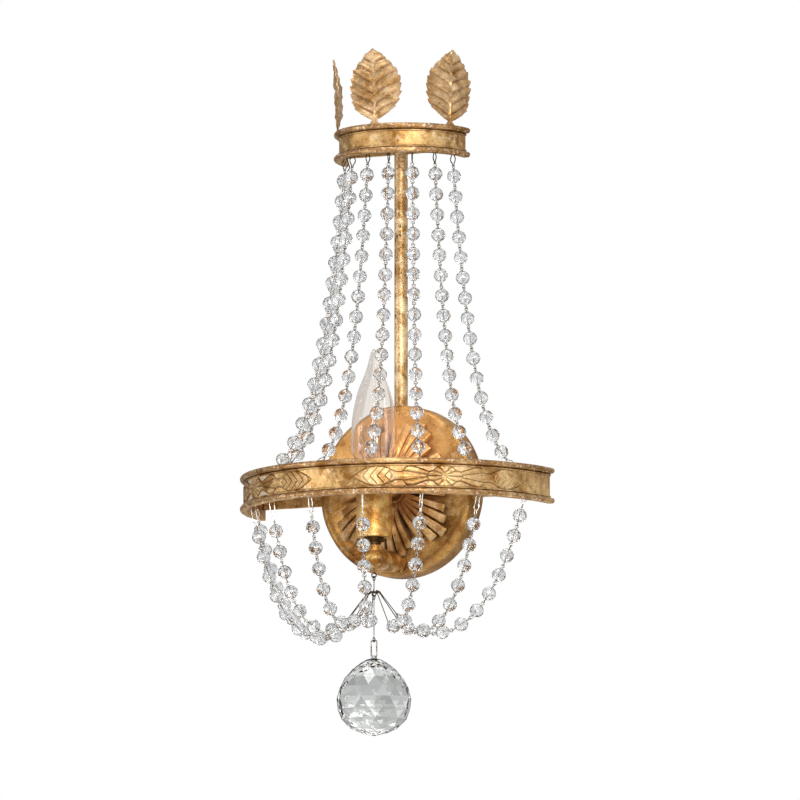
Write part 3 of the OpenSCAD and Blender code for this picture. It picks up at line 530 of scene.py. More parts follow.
class SconceCandle(bpy.types.PropertyGroup):
    """Sizes of the candle, the bulb and the strands"""
    axis_out: length(0.050, "Candle off the wall", "Distance of the candle's axis off the wall")
    bulb_foot: FloatProperty(name="Bulb foot", description="Height of the bulb's glass at its foot",
                             default=0.00312, unit="LENGTH", subtype="DISTANCE")
    bulb_tip: length(0.09712, "Bulb tip", "Height of the bulb's tip")
    bulb_width: length(0.0318, "Bulb width", "Largest diameter of the bulb")
    screw_width: length(0.0119, "Screw shell", "Diameter of the bulb's screw shell")
    bead_width: length(0.010, "Bead", "Diameter of a bead")
    bead_sides: IntProperty(name="Bead sides", description="Facets round a bead", default=10, min=6)
    wire: length(0.0007, "Wire", "Wire of the hooks")
    shank: length(0.00055, "Shank", "Wire of an eye pin inside its bead")
    eye: length(0.003, "Eye", "Outer diameter of a wire eye")
    strand_step: FloatProperty(name="Strand step", description="Angle between neighbouring strands",
                               default=radians(22), subtype="ANGLE")
    upper_beads: IntProperty(name="Upper beads", description="Beads on an upper strand", default=15, min=1)
    lower_beads: IntVectorProperty(name="Lower beads", description="Beads on the lower strands, middle pair first",
                                   default=(7, 7, 8, 10), size=4)


class SconceFinish(bpy.types.PropertyGroup):
    """Colours and gloss of the finishes"""
    deep_gold: colour(screen(146, 98, 38), "Deep gold", "Darker tone of the gold leaf")
    pale_gold: colour(screen(230, 194, 136), "Pale gold", "Paler tone of the gold leaf")
    rub_gold: colour(screen(242, 224, 190), "Rubbed gold", "Gold rubbed thin on open faces")
    # Painted light: the bulb's warm light painted on the gold behind it.
    bulb_light_gold: colour(screen(255, 188, 118), "Warm gold", "Gold behind the bulb")
    red_brown: colour(screen(128, 84, 56), "Red brown", "Size that shows at worn edges")
    rim_brown: colour(screen(142, 98, 64), "Rim brown", "Rosy brown of the rubbed rims")
    # Painted shade: brown of the lines in the garlands' grooves and of the darkening towards the plate's rim.
    shade_brown: colour(screen(98, 60, 22), "Line brown", "Brown line round the garlands' leaves")
    # Brown of the painted shade in hollows and of the real dark specks.
    brown: colour(screen(58, 33, 12), "Brown", "Dark of hollows and specks")
    # Painted highlight on the ground between the garlands' leaves.
    cream_highlight: colour(screen(255, 240, 212), "Cream", "Bright ground between the garlands' leaves")
    glass_tint: colour((0.97, 0.975, 0.975), "Crystal", "Tint of the crystal")
    gloss: FloatProperty(name="Leaf roughness", description="Roughness of the gold leaf", default=0.36, min=0.0,
                         max=1.0, subtype="FACTOR")


# ---- Places shared by several pieces ----

def on_band(angle, radius, height):
    """A point on a half-round band, at an angle from the front."""
    gap = bpy.context.scene.sconce_bands.wall_gap
    return Vector((radius * sin(angle), -gap - radius * cos(angle), height))


def web_face(radius):
    return radius - bpy.context.scene.sconce_bands.rim_out


def web_inside(radius):
    return web_face(radius) - bpy.context.scene.sconce_bands.web


STRANDS = 8                # upper ones, and as many lower ones
EYELET_OUT = 2.8 * MM      # from a web's inner face to the middle of an eyelet's bow
EYELET_WIRE = 0.8 * MM
EYELET_BOW = 1.6 * MM
CROWN_EYELET_IN = 2 * MM   # eyelets over the lower edge of the crown
RING_EYELET_IN = 4.5 * MM  # eyelets in from the edges of the ring
SEAT = 0.1 * MM            # play between wires that hang in each other
HUB_RING = 4.2 * MM        # radius of the ring that gathers the lower strands
HUB_WIRE = 0.8 * MM
EYE_WIRE = 0.7 * MM        # of the pins' eyes, which set the pitch
GATHER_Z = -74.9 * MM
UPPER_HOOK = 9 * MM
UPPER_FOOT = 19.6 * MM
LOWER_HOOKS = [17.6 * MM, 17 * MM, 17 * MM, 8 * MM]       # middle pair of strands first
GATHER_HOOKS = [19 * MM, 30.7 * MM, 30 * MM, 20.7 * MM]


def strand_angles():
    """Angles of the strands from the front, from -X to +X."""
    candle = bpy.context.scene.sconce_candle
    return [(i - (STRANDS - 1) / 2) * candle.strand_step for i in range(STRANDS)]


def eyelet_heights():
    """Heights of the eyelets: under the crown, and at the ring's top and foot."""
    bands = bpy.context.scene.sconce_bands
    return (bands.crown_middle - bands.crown_height / 2 + CROWN_EYELET_IN,
            bands.ring_middle + bands.ring_height / 2 - RING_EYELET_IN,
            bands.ring_middle - bands.ring_height / 2 + RING_EYELET_IN)


def slope_sums(links, bend, level):
    """How far a chain reaches out and up in all."""
    slopes = [atan(bend * (k - level)) for k in range(len(links))]
    return sum(l * cos(s) for l, s in zip(links, slopes)), sum(l * sin(s) for l, s in zip(links, slopes))


def hanging_chain(links, out, rise, start, side=1):
    """Joints of a chain of rigid links between two hooks: the slope of link k is bend * (k - level)."""
    def level_for(bend):
        low, high = -100.0, 100.0
        for _ in range(30):
            middle = (low + high) / 2
            if slope_sums(links, bend, middle)[1] > rise:
                low = middle
            else:
                high = middle
        return (low + high) / 2

    low, high = 0.01, 8.0
    for _ in range(26):
        bend = sqrt(low * high)
        if slope_sums(links, bend, level_for(bend))[0] > out:
            low = bend
        else:
            high = bend
    bend = sqrt(low * high)
    level = level_for(bend)
    x, z = start
    joints = [(x, z)]
    for k, link in enumerate(links):
        slope = atan(bend * (k - level))
        x += side * link * cos(slope)
        z += link * sin(slope)
        joints.append((x, z))
    return joints


def bead_pitch():
    """Distance from bead to bead, with the two eyes between them hooked in each other."""
    candle = bpy.context.scene.sconce_candle
    eye = (candle.eye - EYE_WIRE) / 2
    return 2 * (candle.bead_width / 2 + SEAT + EYE_WIRE / 2 + 2 * eye - (EYE_WIRE + SEAT) / 2)


def strand_plans():
    """For each strand its name, the matrix from its own plane, its joints in that plane, and its kind."""
    scene = bpy.context.scene
    bands, candle = scene.sconce_bands, scene.sconce_candle
    ring_hook = web_inside(bands.ring_radius) - EYELET_OUT
    crown_hook = web_inside(bands.crown_radius) - EYELET_OUT
    top, ring_top, ring_low = eyelet_heights()
    pitch = bead_pitch()
    upper = hanging_chain([UPPER_HOOK] + [pitch] * candle.upper_beads + [UPPER_FOOT], ring_hook - crown_hook,
                          ring_top - top, (crown_hook, top))
    plans = []
    for i, angle in enumerate(strand_angles()):
        matrix = Matrix.Translation((0, -bands.wall_gap, 0)) @ Matrix.Rotation(angle - pi / 2, 4, "Z")
        plans.append((f"upper_{{}}_{i + 1}", matrix, upper, "upper"))
    for i, angle in enumerate(strand_angles()):
        pair = floor(abs(i - (STRANDS - 1) / 2))
        x, y = ring_hook * sin(angle), -bands.wall_gap - ring_hook * cos(angle)
        run, turn = hypot(x, y + candle.axis_out), atan2(y + candle.axis_out, x)
        links = [LOWER_HOOKS[pair]] + [pitch] * candle.lower_beads[pair] + [GATHER_HOOKS[pair]]
        joints = hanging_chain(links, run - HUB_RING, GATHER_Z - ring_low, (run, ring_low), -1)
        matrix = Matrix.Translation((0, -candle.axis_out, 0)) @ Matrix.Rotation(turn, 4, "Z")
        plans.append((f"lower_{{}}_{i + 1}", matrix, joints, "lower"))
    return plans


def along(start, end):
    """Matrix of a link between two joints: its middle at the origin and its length along Z."""
    (x0, z0), (x1, z1) = start, end
    return Matrix.Translation(((x0 + x1) / 2, 0, (z0 + z1) / 2)) @ Matrix.Rotation(atan2(x1 - x0, z1 - z0), 4, "Y")


# ---- Pieces ----

def faceted_bead(width, sides, bore):
    """A round bead of flat facets in rows, each row half a facet round from the last, with its bore."""
    r = width / 2
    rings = [(bore, 0.955 * r), (0.36 * r, 0.93 * r), (0.76 * r, 0.66 * r), (0.995 * r, 0.21 * r),
             (0.995 * r, -0.21 * r), (0.76 * r, -0.66 * r), (0.36 * r, -0.93 * r), (bore, -0.955 * r)]
    shifts = [0, 0, 0.5, 0, 0.5, 0, 0.5, 0.5]
    points = []
    for (radius, height), shift in zip(rings, shifts):
        for j in range(sides):
            a = (j + shift) * 2 * pi / sides
            points.append(Vector((radius * cos(a), radius * sin(a), height)))
    faces = []
    for i in range(len(rings) - 1):
        for j in range(sides):
            a, b = i * sides + j, i * sides + (j + 1) % sides
            c, d = a + sides, b + sides
            if shifts[i] == shifts[i + 1]:
                faces.append((a, b, d, c))
            elif shifts[i] < shifts[i + 1]:
                faces += [(a, b, c), (b, d, c)]
            else:
                faces += [(a, b, d), (a, d, c)]
    last = (len(rings) - 1) * sides
    for j in range(sides):
        k = (j + 1) % sides
        faces.append((last + j, last + k, k, j))
    return points, faces


BEAD_BORE = 0.5 * MM
BEAD_OFF = 1.6 * MM        # allowed between the sums of the two ends of a strand's box, here and in the frame
# The painted shade of the facets changes at these rates.
BEAD_FACET_SHADES, BALL_FACET_SHADES = 1300, 430   # how fast the facets' tones change, to the metre


def paint_facet_shades(mesh, scale):
    """Gives each facet a grey of its own, painted shade and highlight that stand in for the light leaving each facet
    differently.
    """
    mark(mesh, "facet", [0.5 + noise.noise(face.center * scale) for face in mesh.polygons], "FACE")


class SCONCE_OT_beads(bpy.types.Operator):
    """Cut crystal beads of the sixteen strands"""
    bl_idname = "sconce.beads"
    bl_label = "Crystal beads"

    def execute(self, context):
        candle = context.scene.sconce_candle
        shape = faceted_bead(candle.bead_width, candle.bead_sides, BEAD_BORE)
        tint = full(context.scene.sconce_finish.glass_tint)
        glass = cut_glass("bead_crystal", tint, CRYSTAL_IOR, haze=0.04, facets=screen(214, 215, 217))
        for name, matrix, joints, kind in strand_plans():
            chance = random.Random(name)
            parts = []
            for start, end in zip(joints[1:-2], joints[2:-1]):
                spin = Matrix.Rotation(chance.uniform(0, 2 * pi), 4, "Z")
                parts.append(moved(shape, matrix @ along(start, end) @ spin))
            node = name.format("beads")
            low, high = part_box(node)
            part = joined(parts)
            for axis in range(3):
                reach = [p[axis] for p in part[0]]
                if abs(min(reach) + max(reach) - low[axis] - high[axis]) > BEAD_OFF:
                    raise RuntimeError(f"{node} isn't where the frame has it")
            mesh = make_mesh(node, part, 0)
            paint_facet_shades(mesh, BEAD_FACET_SHADES)
            place_piece(node + "_cut", mesh, name.format("strand"), glass, [node])
        return {"FINISHED"}


EYE_TURN = 345             # degrees that an eye is bent through
EYE_STEPS = 16
EYE_NECK = 0.6 * MM        # straight wire from an eye before the shank
LONG_HOOK = 13 * MM        # longer hooks have shoulders low down


def eye_pin(length, past_start, past_end, shank, wire, eye, quarter):
    """One wire: an eye, a straight shank through the bead and an eye."""
    start, end = -length / 2 - past_start + eye, length / 2 + past_end - eye
    turns = [radians(EYE_TURN * k / EYE_STEPS) for k in range(EYE_STEPS + 1)]
    points = [(eye * sin(t), 0, start + eye * cos(t)) for t in reversed(turns)]
    points += [(0, 0, start + eye + EYE_NECK), (0, 0, end - eye - EYE_NECK)]
    points += [(eye * sin(t), 0, end - eye * cos(t)) for t in turns]
    return moved(tube(points, wire / 2, 8), Matrix.Rotation(radians(quarter), 4, "Z"))


def bent_loop(half_line, wire):
    """A closed loop of wire in the XZ plane, alike on both sides of Z, from (x, z) points on one side."""
    line = [(x, 0, z) for x, z in half_line] + [(-x, 0, z) for x, z in reversed(half_line) if x > 1e-6]
    smooth = []
    n = len(line)
    for k in range(n):
        p0, p1, p2, p3 = (Vector(line[(k + d) % n]) for d in (-1, 0, 1, 2))
        for s in (0, 0.34, 0.67):
            smooth.append(0.5 * (2 * p1 + (p2 - p0) * s + (2 * p0 - 5 * p1 + 4 * p2 - p3) * s ** 2
                                 + (3 * p1 - p0 - 3 * p2 + p3) * s ** 3))
    return tube(smooth, wire / 2, 8, True)


def long_hook(length, past_start, past_end, wire, wide):
    """A two-legged hook: wide at its start, with shoulders that draw in to a small eye at its end."""
    top, foot = -length / 2 - past_start + wire / 2, length / 2 + past_end - wire / 2
    total = foot - top
    small = 0.95 * MM
    half = [(0, top), (0.62 * wide, top + 0.35 * MM), (wide, top + 1.5 * MM)]
    if total > LONG_HOOK:
        half += [(wide * 0.96, top + 0.3 * total), (wide * 0.93, top + 0.62 * total),
                 (wide * 1.18, top + 0.74 * total)]
    else:
        half += [(wide * 1.12, top + 0.5 * total)]
    half += [(small * 0.78, foot - 2.6 * MM), (small, foot - 1.2 * MM), (small * 0.62, foot - 0.2 * MM), (0, foot)]
    return bent_loop(half, wire)


def teardrop_hook(length, past_start, past_end, wire):
    """A hook bent like a drop: pointed over its eyelet, wide below, then drawn in to the bead's eye."""
    top, foot = -length / 2 - past_start + wire / 2, length / 2 + past_end - wire / 2
    half = [(0, top), (0.75 * MM, top + 0.5 * MM), (1.3 * MM, top + 2.2 * MM), (2.25 * MM, top + 4.4 * MM),
            (1.7 * MM, foot - 3.1 * MM), (0.75 * MM, foot - 1.8 * MM), (0.8 * MM, foot - 0.9 * MM),
            (0.45 * MM, foot - 0.1 * MM), (0, foot)]
    return bent_loop(half, wire)


class SCONCE_OT_strand_wires(bpy.types.Operator):
    """Eye pins and hooks of the sixteen strands"""
    bl_idname = "sconce.strand_wires"
    bl_label = "Eye pins and hooks"

    def execute(self, context):
        candle = context.scene.sconce_candle
        wire, eye = candle.wire, (candle.eye - candle.wire) / 2
        metal = self.wire_metal()
        past = (wire + SEAT) / 2
        on_eyelet = (wire + EYELET_WIRE) / 2 + SEAT
        on_ring = (wire + HUB_WIRE) / 2 + SEAT
        for name, matrix, joints, kind in strand_plans():
            parts, light_tones = [], []
            count = len(joints) - 1
            for k in range(count):
                link = matrix @ along(joints[k], joints[k + 1])
                size = hypot(joints[k + 1][0] - joints[k][0], joints[k + 1][1] - joints[k][1])
                if k == 0:
                    hook = teardrop_hook if kind == "upper" else long_hook
                    more = {"wire": wire * 1.15} if kind == "upper" else {"wire": wire, "wide": 1.75 * MM}
                    parts.append(moved(hook(size, on_eyelet, past, **more), link))
                elif k < count - 1:
                    parts.append(moved(eye_pin(size, past, past, candle.shank, wire, eye, 90 * (k % 2)), link))
                elif kind == "upper":
                    parts.append(moved(long_hook(size, on_eyelet, past, wire, 1.3 * MM),
                                       link @ Matrix.Rotation(pi, 4, "Y")))
                else:
                    parts.append(moved(eye_pin(size, past, on_ring, wire * 1.3, wire, eye, 90 * (k % 2)), link))
                light_tones += [self.tone(kind, k, count)] * len(parts[-1][0])
            node = name.format("wires")
            mesh = make_mesh(node, joined(parts), 50)
            if len(mesh.vertices) != len(light_tones):
                raise RuntimeError(f"{node} lost points of its wires")
            mark(mesh, "tone", light_tones)
            place_piece(node + "_bent", mesh, name.format("strand"), metal, [node])
        return {"FINISHED"}

    def tone(self, kind, k, count):
        """0 for painted shade, 1 for painted highlight: the crown's and the hub's hooks are painted dark, the ring's
        lower hooks painted bright.
        """
        if k == 0:
            return 0.0 if kind == "upper" else 1.0
        return 0.0 if kind == "lower" and k == count - 1 else 0.6

    def wire_metal(self):
        f = Finish("hook_wire")
        # Painted light: the tone mark takes the wire from painted shade through plain grey to a painted near-white
        # highlight.
        marks, tone = f.clouds(400, 4, 0.6), f.painted("tone")
        colour = f.blend(f.fit(tone, 0.0, 0.5), screen(84, 76, 66), screen(176, 170, 162))
        colour = f.blend(f.fit(tone, 0.5, 1.0), colour, screen(250, 246, 238))
        f.set(Base_Color=f.blend(f.fit(marks, 0.35, 0.65, 0.0, 0.4), colour, screen(96, 84, 70)),
              Roughness=f.fit(marks, 0.3, 0.7, 0.16, 0.3), Metallic=1.0)
        f.relief(marks, 0.0001, 0.4)
        return f.material


# Half width of a leaf as a share of its largest, at shares of its height over the stem.
LEAF_OUTLINE = [(0, 0.10), (0.027, 0.26), (0.107, 0.60), (0.187, 0.83), (0.267, 0.92), (0.373, 0.99), (0.48, 1.0),
                (0.587, 0.97), (0.65, 0.91), (0.72, 0.82), (0.787, 0.67), (0.853, 0.50), (0.92, 0.33), (1, 0.02)]
LEAF_STEM = 0.05           # share of the leaf's height
LEAF_ROWS, LEAF_COLS = 168, 24   # steps up a leaf, and from its midrib to its edge


def leaf_half_width(bands, u):
    """Half width of a leaf at a share of its height, with teeth that point up."""
    p = (u - LEAF_STEM) / (1 - LEAF_STEM)
    if p <= 0:
        return mix(3.6, 1.9, step(0, LEAF_STEM, u)) * MM
    tooth = p * bands.leaf_teeth * 1.02 + 0.35
    notch = 1 + (0.085 + 0.09 * p ** 2) * ((tooth - floor(tooth)) ** 0.7 - 0.6)
    return max(0.3 * MM, bands.leaf_width / 2 * from_table(LEAF_OUTLINE, p) * notch, 1.7 * MM * (1 - p * 12))


def leaf_relief(bands, x, u, v, lean):
    """How far a leaf's face stands forward: puffs between veins that rise outwards, and a midrib."""
    p = max(0.0, (u - LEAF_STEM) / (1 - LEAF_STEM))
    z = p * bands.leaf_height
    spacing = bands.leaf_height / (bands.leaf_veins * 1.02)
    line = (z - abs(x) * 0.50 + 0.35 * spacing) / spacing
    line += 0.22 * noise.noise(Vector((x * 55 + lean, z * 70, 8.1)))
    share = line - floor(line)
    puff = sin(pi * share ** 0.75) ** 0.75
    side = min(1.0, abs(x) / (2.2 * MM))
    body = step(0, 0.08, p) * step(1.02, 0.86, p)
    wave = noise.noise(Vector((x * 120 + lean, z * 120, 3.7))) * 1.3
    height = body * side * (puff * 1.9 - 1.0 + wave) * (1 - 0.5 * abs(v) ** 2)
    rib = 0.9 * max(0.0, 1 - abs(x) / (1.1 * MM)) * (1 - p) * body
    cup = -3.0 * v * v * sin(pi * min(1, p)) + 3.0 * p * p + 0.5 * noise.noise(Vector((u * 6 + lean, v * 2, 0)))
    return (height + rib + cup) * MM


class SCONCE_OT_crown_leaves(bpy.types.Operator):
    """Three embossed leaves on the crown"""
    bl_idname = "sconce.crown_leaves"
    bl_label = "Crown leaves"

    def execute(self, context):
        bands = context.scene.sconce_bands
        foot = bands.crown_radius - (bands.rim_out + bands.web) / 2
        top = bands.crown_middle + bands.crown_height / 2
        rows = [k / LEAF_ROWS for k in range(LEAF_ROWS + 1)]
        cols = [k / LEAF_COLS - 1 for k in range(2 * LEAF_COLS + 1)]
        parts = []
        for turn in (-bands.leaf_angle, 0, bands.leaf_angle):
            place = Matrix.Translation((foot * sin(turn), -bands.wall_gap - foot * cos(turn), top)) \
                @ Matrix.Rotation(turn, 4, "Z") @ Matrix.Translation((0, -bands.leaf_sheet / 2, 0))
            front, back = [], []
            for u in rows:
                half = leaf_half_width(bands, u)
                line, line_back = [], []
                for v in cols:
                    x = v * half
                    y = -leaf_relief(bands, x, u, v, turn * 3)
                    thick = bands.leaf_sheet * (1 - 0.45 * abs(v) ** 8)
                    line.append(place @ Vector((x, y, u * bands.leaf_height)))
                    line_back.append(place @ Vector((x, y + thick, u * bands.leaf_height)))
                front.append(line)
                back.append(line_back)
            parts.append(closed_sheet(front, back))
        gold = gold_leaf("leaf_gold", (1.18, 1.28, 1.6), speckle=0.35, worn=0.6, mottle=0.85,
                         reach=0.0013)
        place_piece("crown_leaves_embossed", make_mesh("crown_leaves_embossed", joined(parts), 50), "frame",
                    gold, ["crown_leaves"])
        return {"FINISHED"}


# Half height of a garland in mm, at distances in mm from its middle.
GARLAND_HALF = [(0, 7.9), (3.4, 7.6), (6, 6.2), (8.6, 4.2), (10.5, 3.6), (12.5, 3.7), (16, 5.0), (20, 6.4),
                (23, 7.2), (25.5, 7.3), (27.3, 6.6), (28.5, 5.2), (29.3, 3.9), (31, 3.2), (34, 3.2), (37, 4.3),
                (40, 5.9), (44, 7.0), (48, 7.3), (52, 6.8), (56, 5.5), (60, 3.6), (63, 1.6), (64.6, 0.2)]
GARLAND_GRID = (440, 64)   # steps along and up a garland


def crease(distance, width=0.42):
    return max(0.0, 1 - abs(distance) / width)


def garland_form(s, z, room):
    """Depth inside the garland's outline in mm, its carving and its creases, s along and z up from its middle."""
    a, up = abs(s), abs(z)
    half = min(room, from_table(GARLAND_HALF, a))
    inside = (half - up) * 0.85
    if inside <= 0:
        return inside, 0.0, 0.0
    rosette = 13.2 - 0.66 * up - a
    if rosette > 0:
        out, rays = hypot(a, z), abs(sin(atan2(up, a * 0.75 + 1.2) * 6.5))
        carving = 0.30 * rays ** 0.6 * step(1.0, 4.0, out) - 0.12 + 0.25 * step(3.2, 0.6, out)
        line = 0.7 * step(0.30, 0.08, rays) * step(1.5, 4.0, out)
    elif a < 29.4:
        parting = mix(0.8, 3.4, (a - 12) / 17)
        over = (up - parting) / max(0.5, half - parting)
        carving = 0.25 * sin(pi * min(1.0, over)) - 0.02 if over > 0 else 0.12 - 0.22 * (up / parting) ** 2
        line = crease(up - parting) + 0.5 * crease(up - parting * 0.45, 0.3) * step(17, 20, a)
    elif a < 36.5:
        carving, line = 0.08 - 0.2 * (up / half) ** 2, 0.5 * crease(up - 0.5 * half, 0.35)
    else:
        fold = ((a - 36.5) * 0.19 + up * 0.17) % 1
        carving = 0.32 * fold ** 1.4 - 0.1
        line = 0.75 * step(0.16, 0.03, fold) + crease(a - 37.5 - 0.12 * up * up, 0.5)
    return inside, carving, min(1.0, max(line, crease(rosette, 0.5)))


def garland_height(s, z, room):
    """Relief of a garland as a share of its full relief, and how strongly the painted shade lines in its grooves
    show.
    """
    inside, carving, line = garland_form(s, z, room)
    if inside <= 0:
        return 0.0, 0.0
    rise = min(1.0, inside / 1.1) ** 0.55
    return max(0.06, rise * (0.66 + carving - 0.24 * line)), max(step(0.7, 0.15, inside), 0.8 * line)


class SCONCE_OT_garlands(bpy.types.Operator):
    """Two relief garlands on the ring"""
    bl_idname = "sconce.garlands"
    bl_label = "Garlands"

    def execute(self, context):
        bands = context.scene.sconce_bands
        face = web_face(bands.ring_radius)
        room = (bands.ring_height / 2 - bands.rim_height) / MM - 0.75
        reach = bands.garland_length / 2
        parts = []
        for turn in (-bands.garland_angle, bands.garland_angle):
            cols, rows = GARLAND_GRID
            forms = [[garland_height((2 * j / cols - 1) * reach / MM, (2 * i / rows - 1) * room, room)
                      for j in range(cols + 1)] for i in range(rows + 1)]
            points, index, faces = [], {}, []

            def corner(i, j):
                if (i, j) not in index:
                    s, z = (2 * j / cols - 1) * reach, (2 * i / rows - 1) * room * MM
                    h, line = forms[i][j]
                    lift = bands.garland_relief * h if h > 0 else -0.25 * MM
                    index[i, j] = len(points)
                    points.append(on_band(turn + s / face, face + lift, bands.ring_middle + z))
                return index[i, j]
            for i in range(rows):
                for j in range(cols):
                    if max(forms[m][n][0] for m in (i, i + 1) for n in (j, j + 1)) > 0:
                        faces.append((corner(i, j), corner(i, j + 1), corner(i + 1, j + 1), corner(i + 1, j)))
            parts.append((points, faces))
        mesh = make_mesh("garlands_relief", joined(parts), 80)
        values = []
        for vertex in mesh.vertices:
            x, y, z = vertex.co
            angle = atan2(x, -(y + bands.wall_gap))
            s = (angle - (bands.garland_angle if x > 0 else -bands.garland_angle)) * face / MM
            values.append(garland_height(s, (z - bands.ring_middle) / MM, room)[1])
        # Painted shade along the garlands' outlines and creases.
        mark(mesh, "outline", values)
        gold = gold_leaf("garland_gold", (1.05, 1.08, 1.12), speckle=0.3, worn=0.25, outline=True)
        piece = place_piece("garlands_relief", mesh, "frame", gold, ["garlands"])
        thick = piece.modifiers.new("thickness", "SOLIDIFY")
        thick.thickness, thick.offset = 0.4 * MM, -1
        return {"FINISHED"}


def band_outline(radius, height):
    """Closed section of a band as (radius, height from its middle): web, rolled rims and thin beads."""
    bands = bpy.context.scene.sconce_bands
    face, inside, rim = web_face(radius), web_inside(radius), bands.rim_height
    roll = radius - rim / 2
    upper = [(inside, height / 2 - 0.3 * MM)] + arc((inside + 0.3 * MM, height / 2 - 0.3 * MM), 0.3 * MM, 150, 90, 2)
    upper += arc((roll, height / 2 - rim / 2), rim / 2, 90, -90, 14)
    bead = 0.85 * MM
    upper += [(face + bead + 0.35 * MM, height / 2 - rim)]
    upper += arc((face + 0.05 * MM, height / 2 - rim - 0.12 * MM - bead), bead, 78, -90, 8)
    upper += [(face, height / 2 - rim - 2.05 * bead - 0.2 * MM)]
    top = upper[-1][1]
    web = [(face, mix(top, -top, k / 16)) for k in range(1, 16)]
    lower = [(r, -z) for r, z in reversed(upper)]
    back = [(inside, mix(-height / 2 + 0.3 * MM, height / 2 - 0.3 * MM, k / 6)) for k in range(1, 6)]
    return upper + web + lower + back


def wandering(point, scale, amount):
    """A small uneven push, as hand-finished sheet has."""
    return Vector((noise.noise(point * scale), noise.noise(point * scale + Vector((9, 4, 2))),
                   noise.noise(point * scale + Vector((3, 7, 5))))) * amount


BAR_BORE = 5.25 * MM       # hole for the nipple, in the ring's bar only
BAR_OUT = 3.5 * MM         # middle of a bar off the wall


def make_band(radius, height, middle, eyelets, steps):
    """A half-round band with its back bar and hanging eyelets."""
    bands = bpy.context.scene.sconce_bands
    places = []
    for k in range(steps + 1):
        angle = mix(-pi / 2, pi / 2, k / steps)

        def place(r, z, angle=angle):
            point = on_band(angle, r, middle + z)
            edge = step(web_face(radius) + 1 * MM, radius, r)
            push = wandering(point, 90, 0.16 * MM) + wandering(point, 420, 0.11 * MM * edge)
            fade = min(1.0, (pi / 2 - abs(angle)) / 0.05)
            return point + Vector((push.x, push.y, 0)) * fade * 0.6 + Vector((0, 0, push.z)) * fade * edge * 0.6
        places.append(place)
    inside = web_inside(radius)
    parts = [swept(band_outline(radius, height), places)]
    half = inside + 0.5 * MM
    bar = [(-half, -bands.bar_height / 2), (half, -bands.bar_height / 2), (half, bands.bar_height / 2),
           (-half, bands.bar_height / 2)]
    holes = [arc((0, 1 * MM), BAR_BORE, 0, 352.5, 47)] if radius > bands.crown_radius else []
    plate = flat_plate(bar, holes, bands.bar_thick, 0.25 * MM)
    parts.append(moved(plate, Matrix.Translation((0, -BAR_OUT, middle)) @ Matrix.Rotation(pi / 2, 4, "X")))
    leg = EYELET_OUT - EYELET_BOW + 0.6 * MM
    for angle, z in eyelets:
        bow = [(-EYELET_BOW * sin(radians(t)), EYELET_BOW * cos(radians(t)), 0) for t in range(0, 181, 15)]
        path = [(leg, EYELET_BOW, 0)] + [(x, y, 0) for x, y, _ in bow] + [(leg, -EYELET_BOW, 0)]
        matrix = Matrix.Translation((0, -bands.wall_gap, z)) @ Matrix.Rotation(angle - pi / 2, 4, "Z") \
            @ Matrix.Translation((inside - EYELET_OUT + EYELET_BOW, 0, 0))
        parts.append(moved(tube(path, EYELET_WIRE / 2, 10), matrix))
    return joined(parts)


class SCONCE_OT_bands(bpy.types.Operator):
    """Half-round ring and crown with rolled rims, back bars and eyelets"""
    bl_idname = "sconce.bands"
    bl_label = "Ring and crown"

    def execute(self, context):
        bands, angles = context.scene.sconce_bands, strand_angles()
        under, top, low = eyelet_heights()
        gold = gold_leaf("band_gold", (0.89, 0.86, 0.79), speckle=0.6, worn=0.9, ground=True)
        bands_made = (
            ("ring_rolled", "ring_band", bands.ring_radius, bands.ring_height, bands.ring_middle, (top, low), 300, 1),
            ("crown_rolled", "crown_band", bands.crown_radius, bands.crown_height, bands.crown_middle, (under,),
             140, 0),
        )
        for name, node, radius, height, middle, heights, steps, ground in bands_made:
            eyelets = [(a, z) for a in angles for z in heights]
            mesh = make_mesh(name, make_band(radius, height, middle, eyelets, steps), 40)
            self.paint_band(mesh, radius, middle, ground)
            place_piece(name, mesh, "frame", gold, [node])
        return {"FINISHED"}

    def paint_band(self, mesh, radius, middle, ground):
        """Marks the rubbed rims, and a painted highlight on the ground between the leaves near the middle of each
        garland, strong at -X and faint at +X.
        """
        bands = bpy.context.scene.sconce_bands
        face = web_face(radius)
        rims, ground_highlights = [], []
        for vertex in mesh.vertices:
            x, y, z = vertex.co
            r, angle = hypot(x, y + bands.wall_gap), atan2(x, -(y + bands.wall_gap))
            rims.append(step(face + 1.3 * MM, face + 2.6 * MM, r))
            along_web = (abs(angle) - bands.garland_angle) * face / MM
            on_face = step(0.6 * MM, 0.2 * MM, abs(r - face)) * step(8.2, 7.4, abs(z - middle) / MM)
            # Painted highlight: strong on the garland at -X, faint on the one at +X.
            ground_highlights.append(on_face * step(33, 25, abs(along_web)) * mix(0.75, 0.12, step(-0.1, 0.1, angle)) * ground)
        mark(mesh, "rim", rims)
        mark(mesh, "ground", ground_highlights)


SHOULDER = 4.6 * MM        # width of the plate's rounded shoulder
FACE_DROP = 3 * MM         # from the plate's middle back to its shoulder
GROOVE, GROOVE_DEPTH = 1.5 * MM, 0.35 * MM
SEAT_DOME, SEAT_IN = 3.8 * MM, 6.1 * MM   # dome that the rosette follows, and how far inside the rim it starts


def plate_outline(plate, radius, drop):
    """Outline of the backplate from its rim on the wall to its middle, as (radius, distance off the wall)."""
    face = plate.depth - FACE_DROP
    line = [(radius, 0.0), (radius, plate.side - drop)]
    for a in range(6, 91, 6):
        line.append((radius - SHOULDER * (1 - cos(radians(a))),
                     plate.side - drop + (face - plate.side) * sin(radians(a))))
    for k in range(25):
        x = (radius - SHOULDER - GROOVE) * (1 - k / 24)
        line.append((x, face - GROOVE_DEPTH - drop
                     + (plate.depth - face + GROOVE_DEPTH) * (1 - (1 - k / 24) ** 2)))
    return line


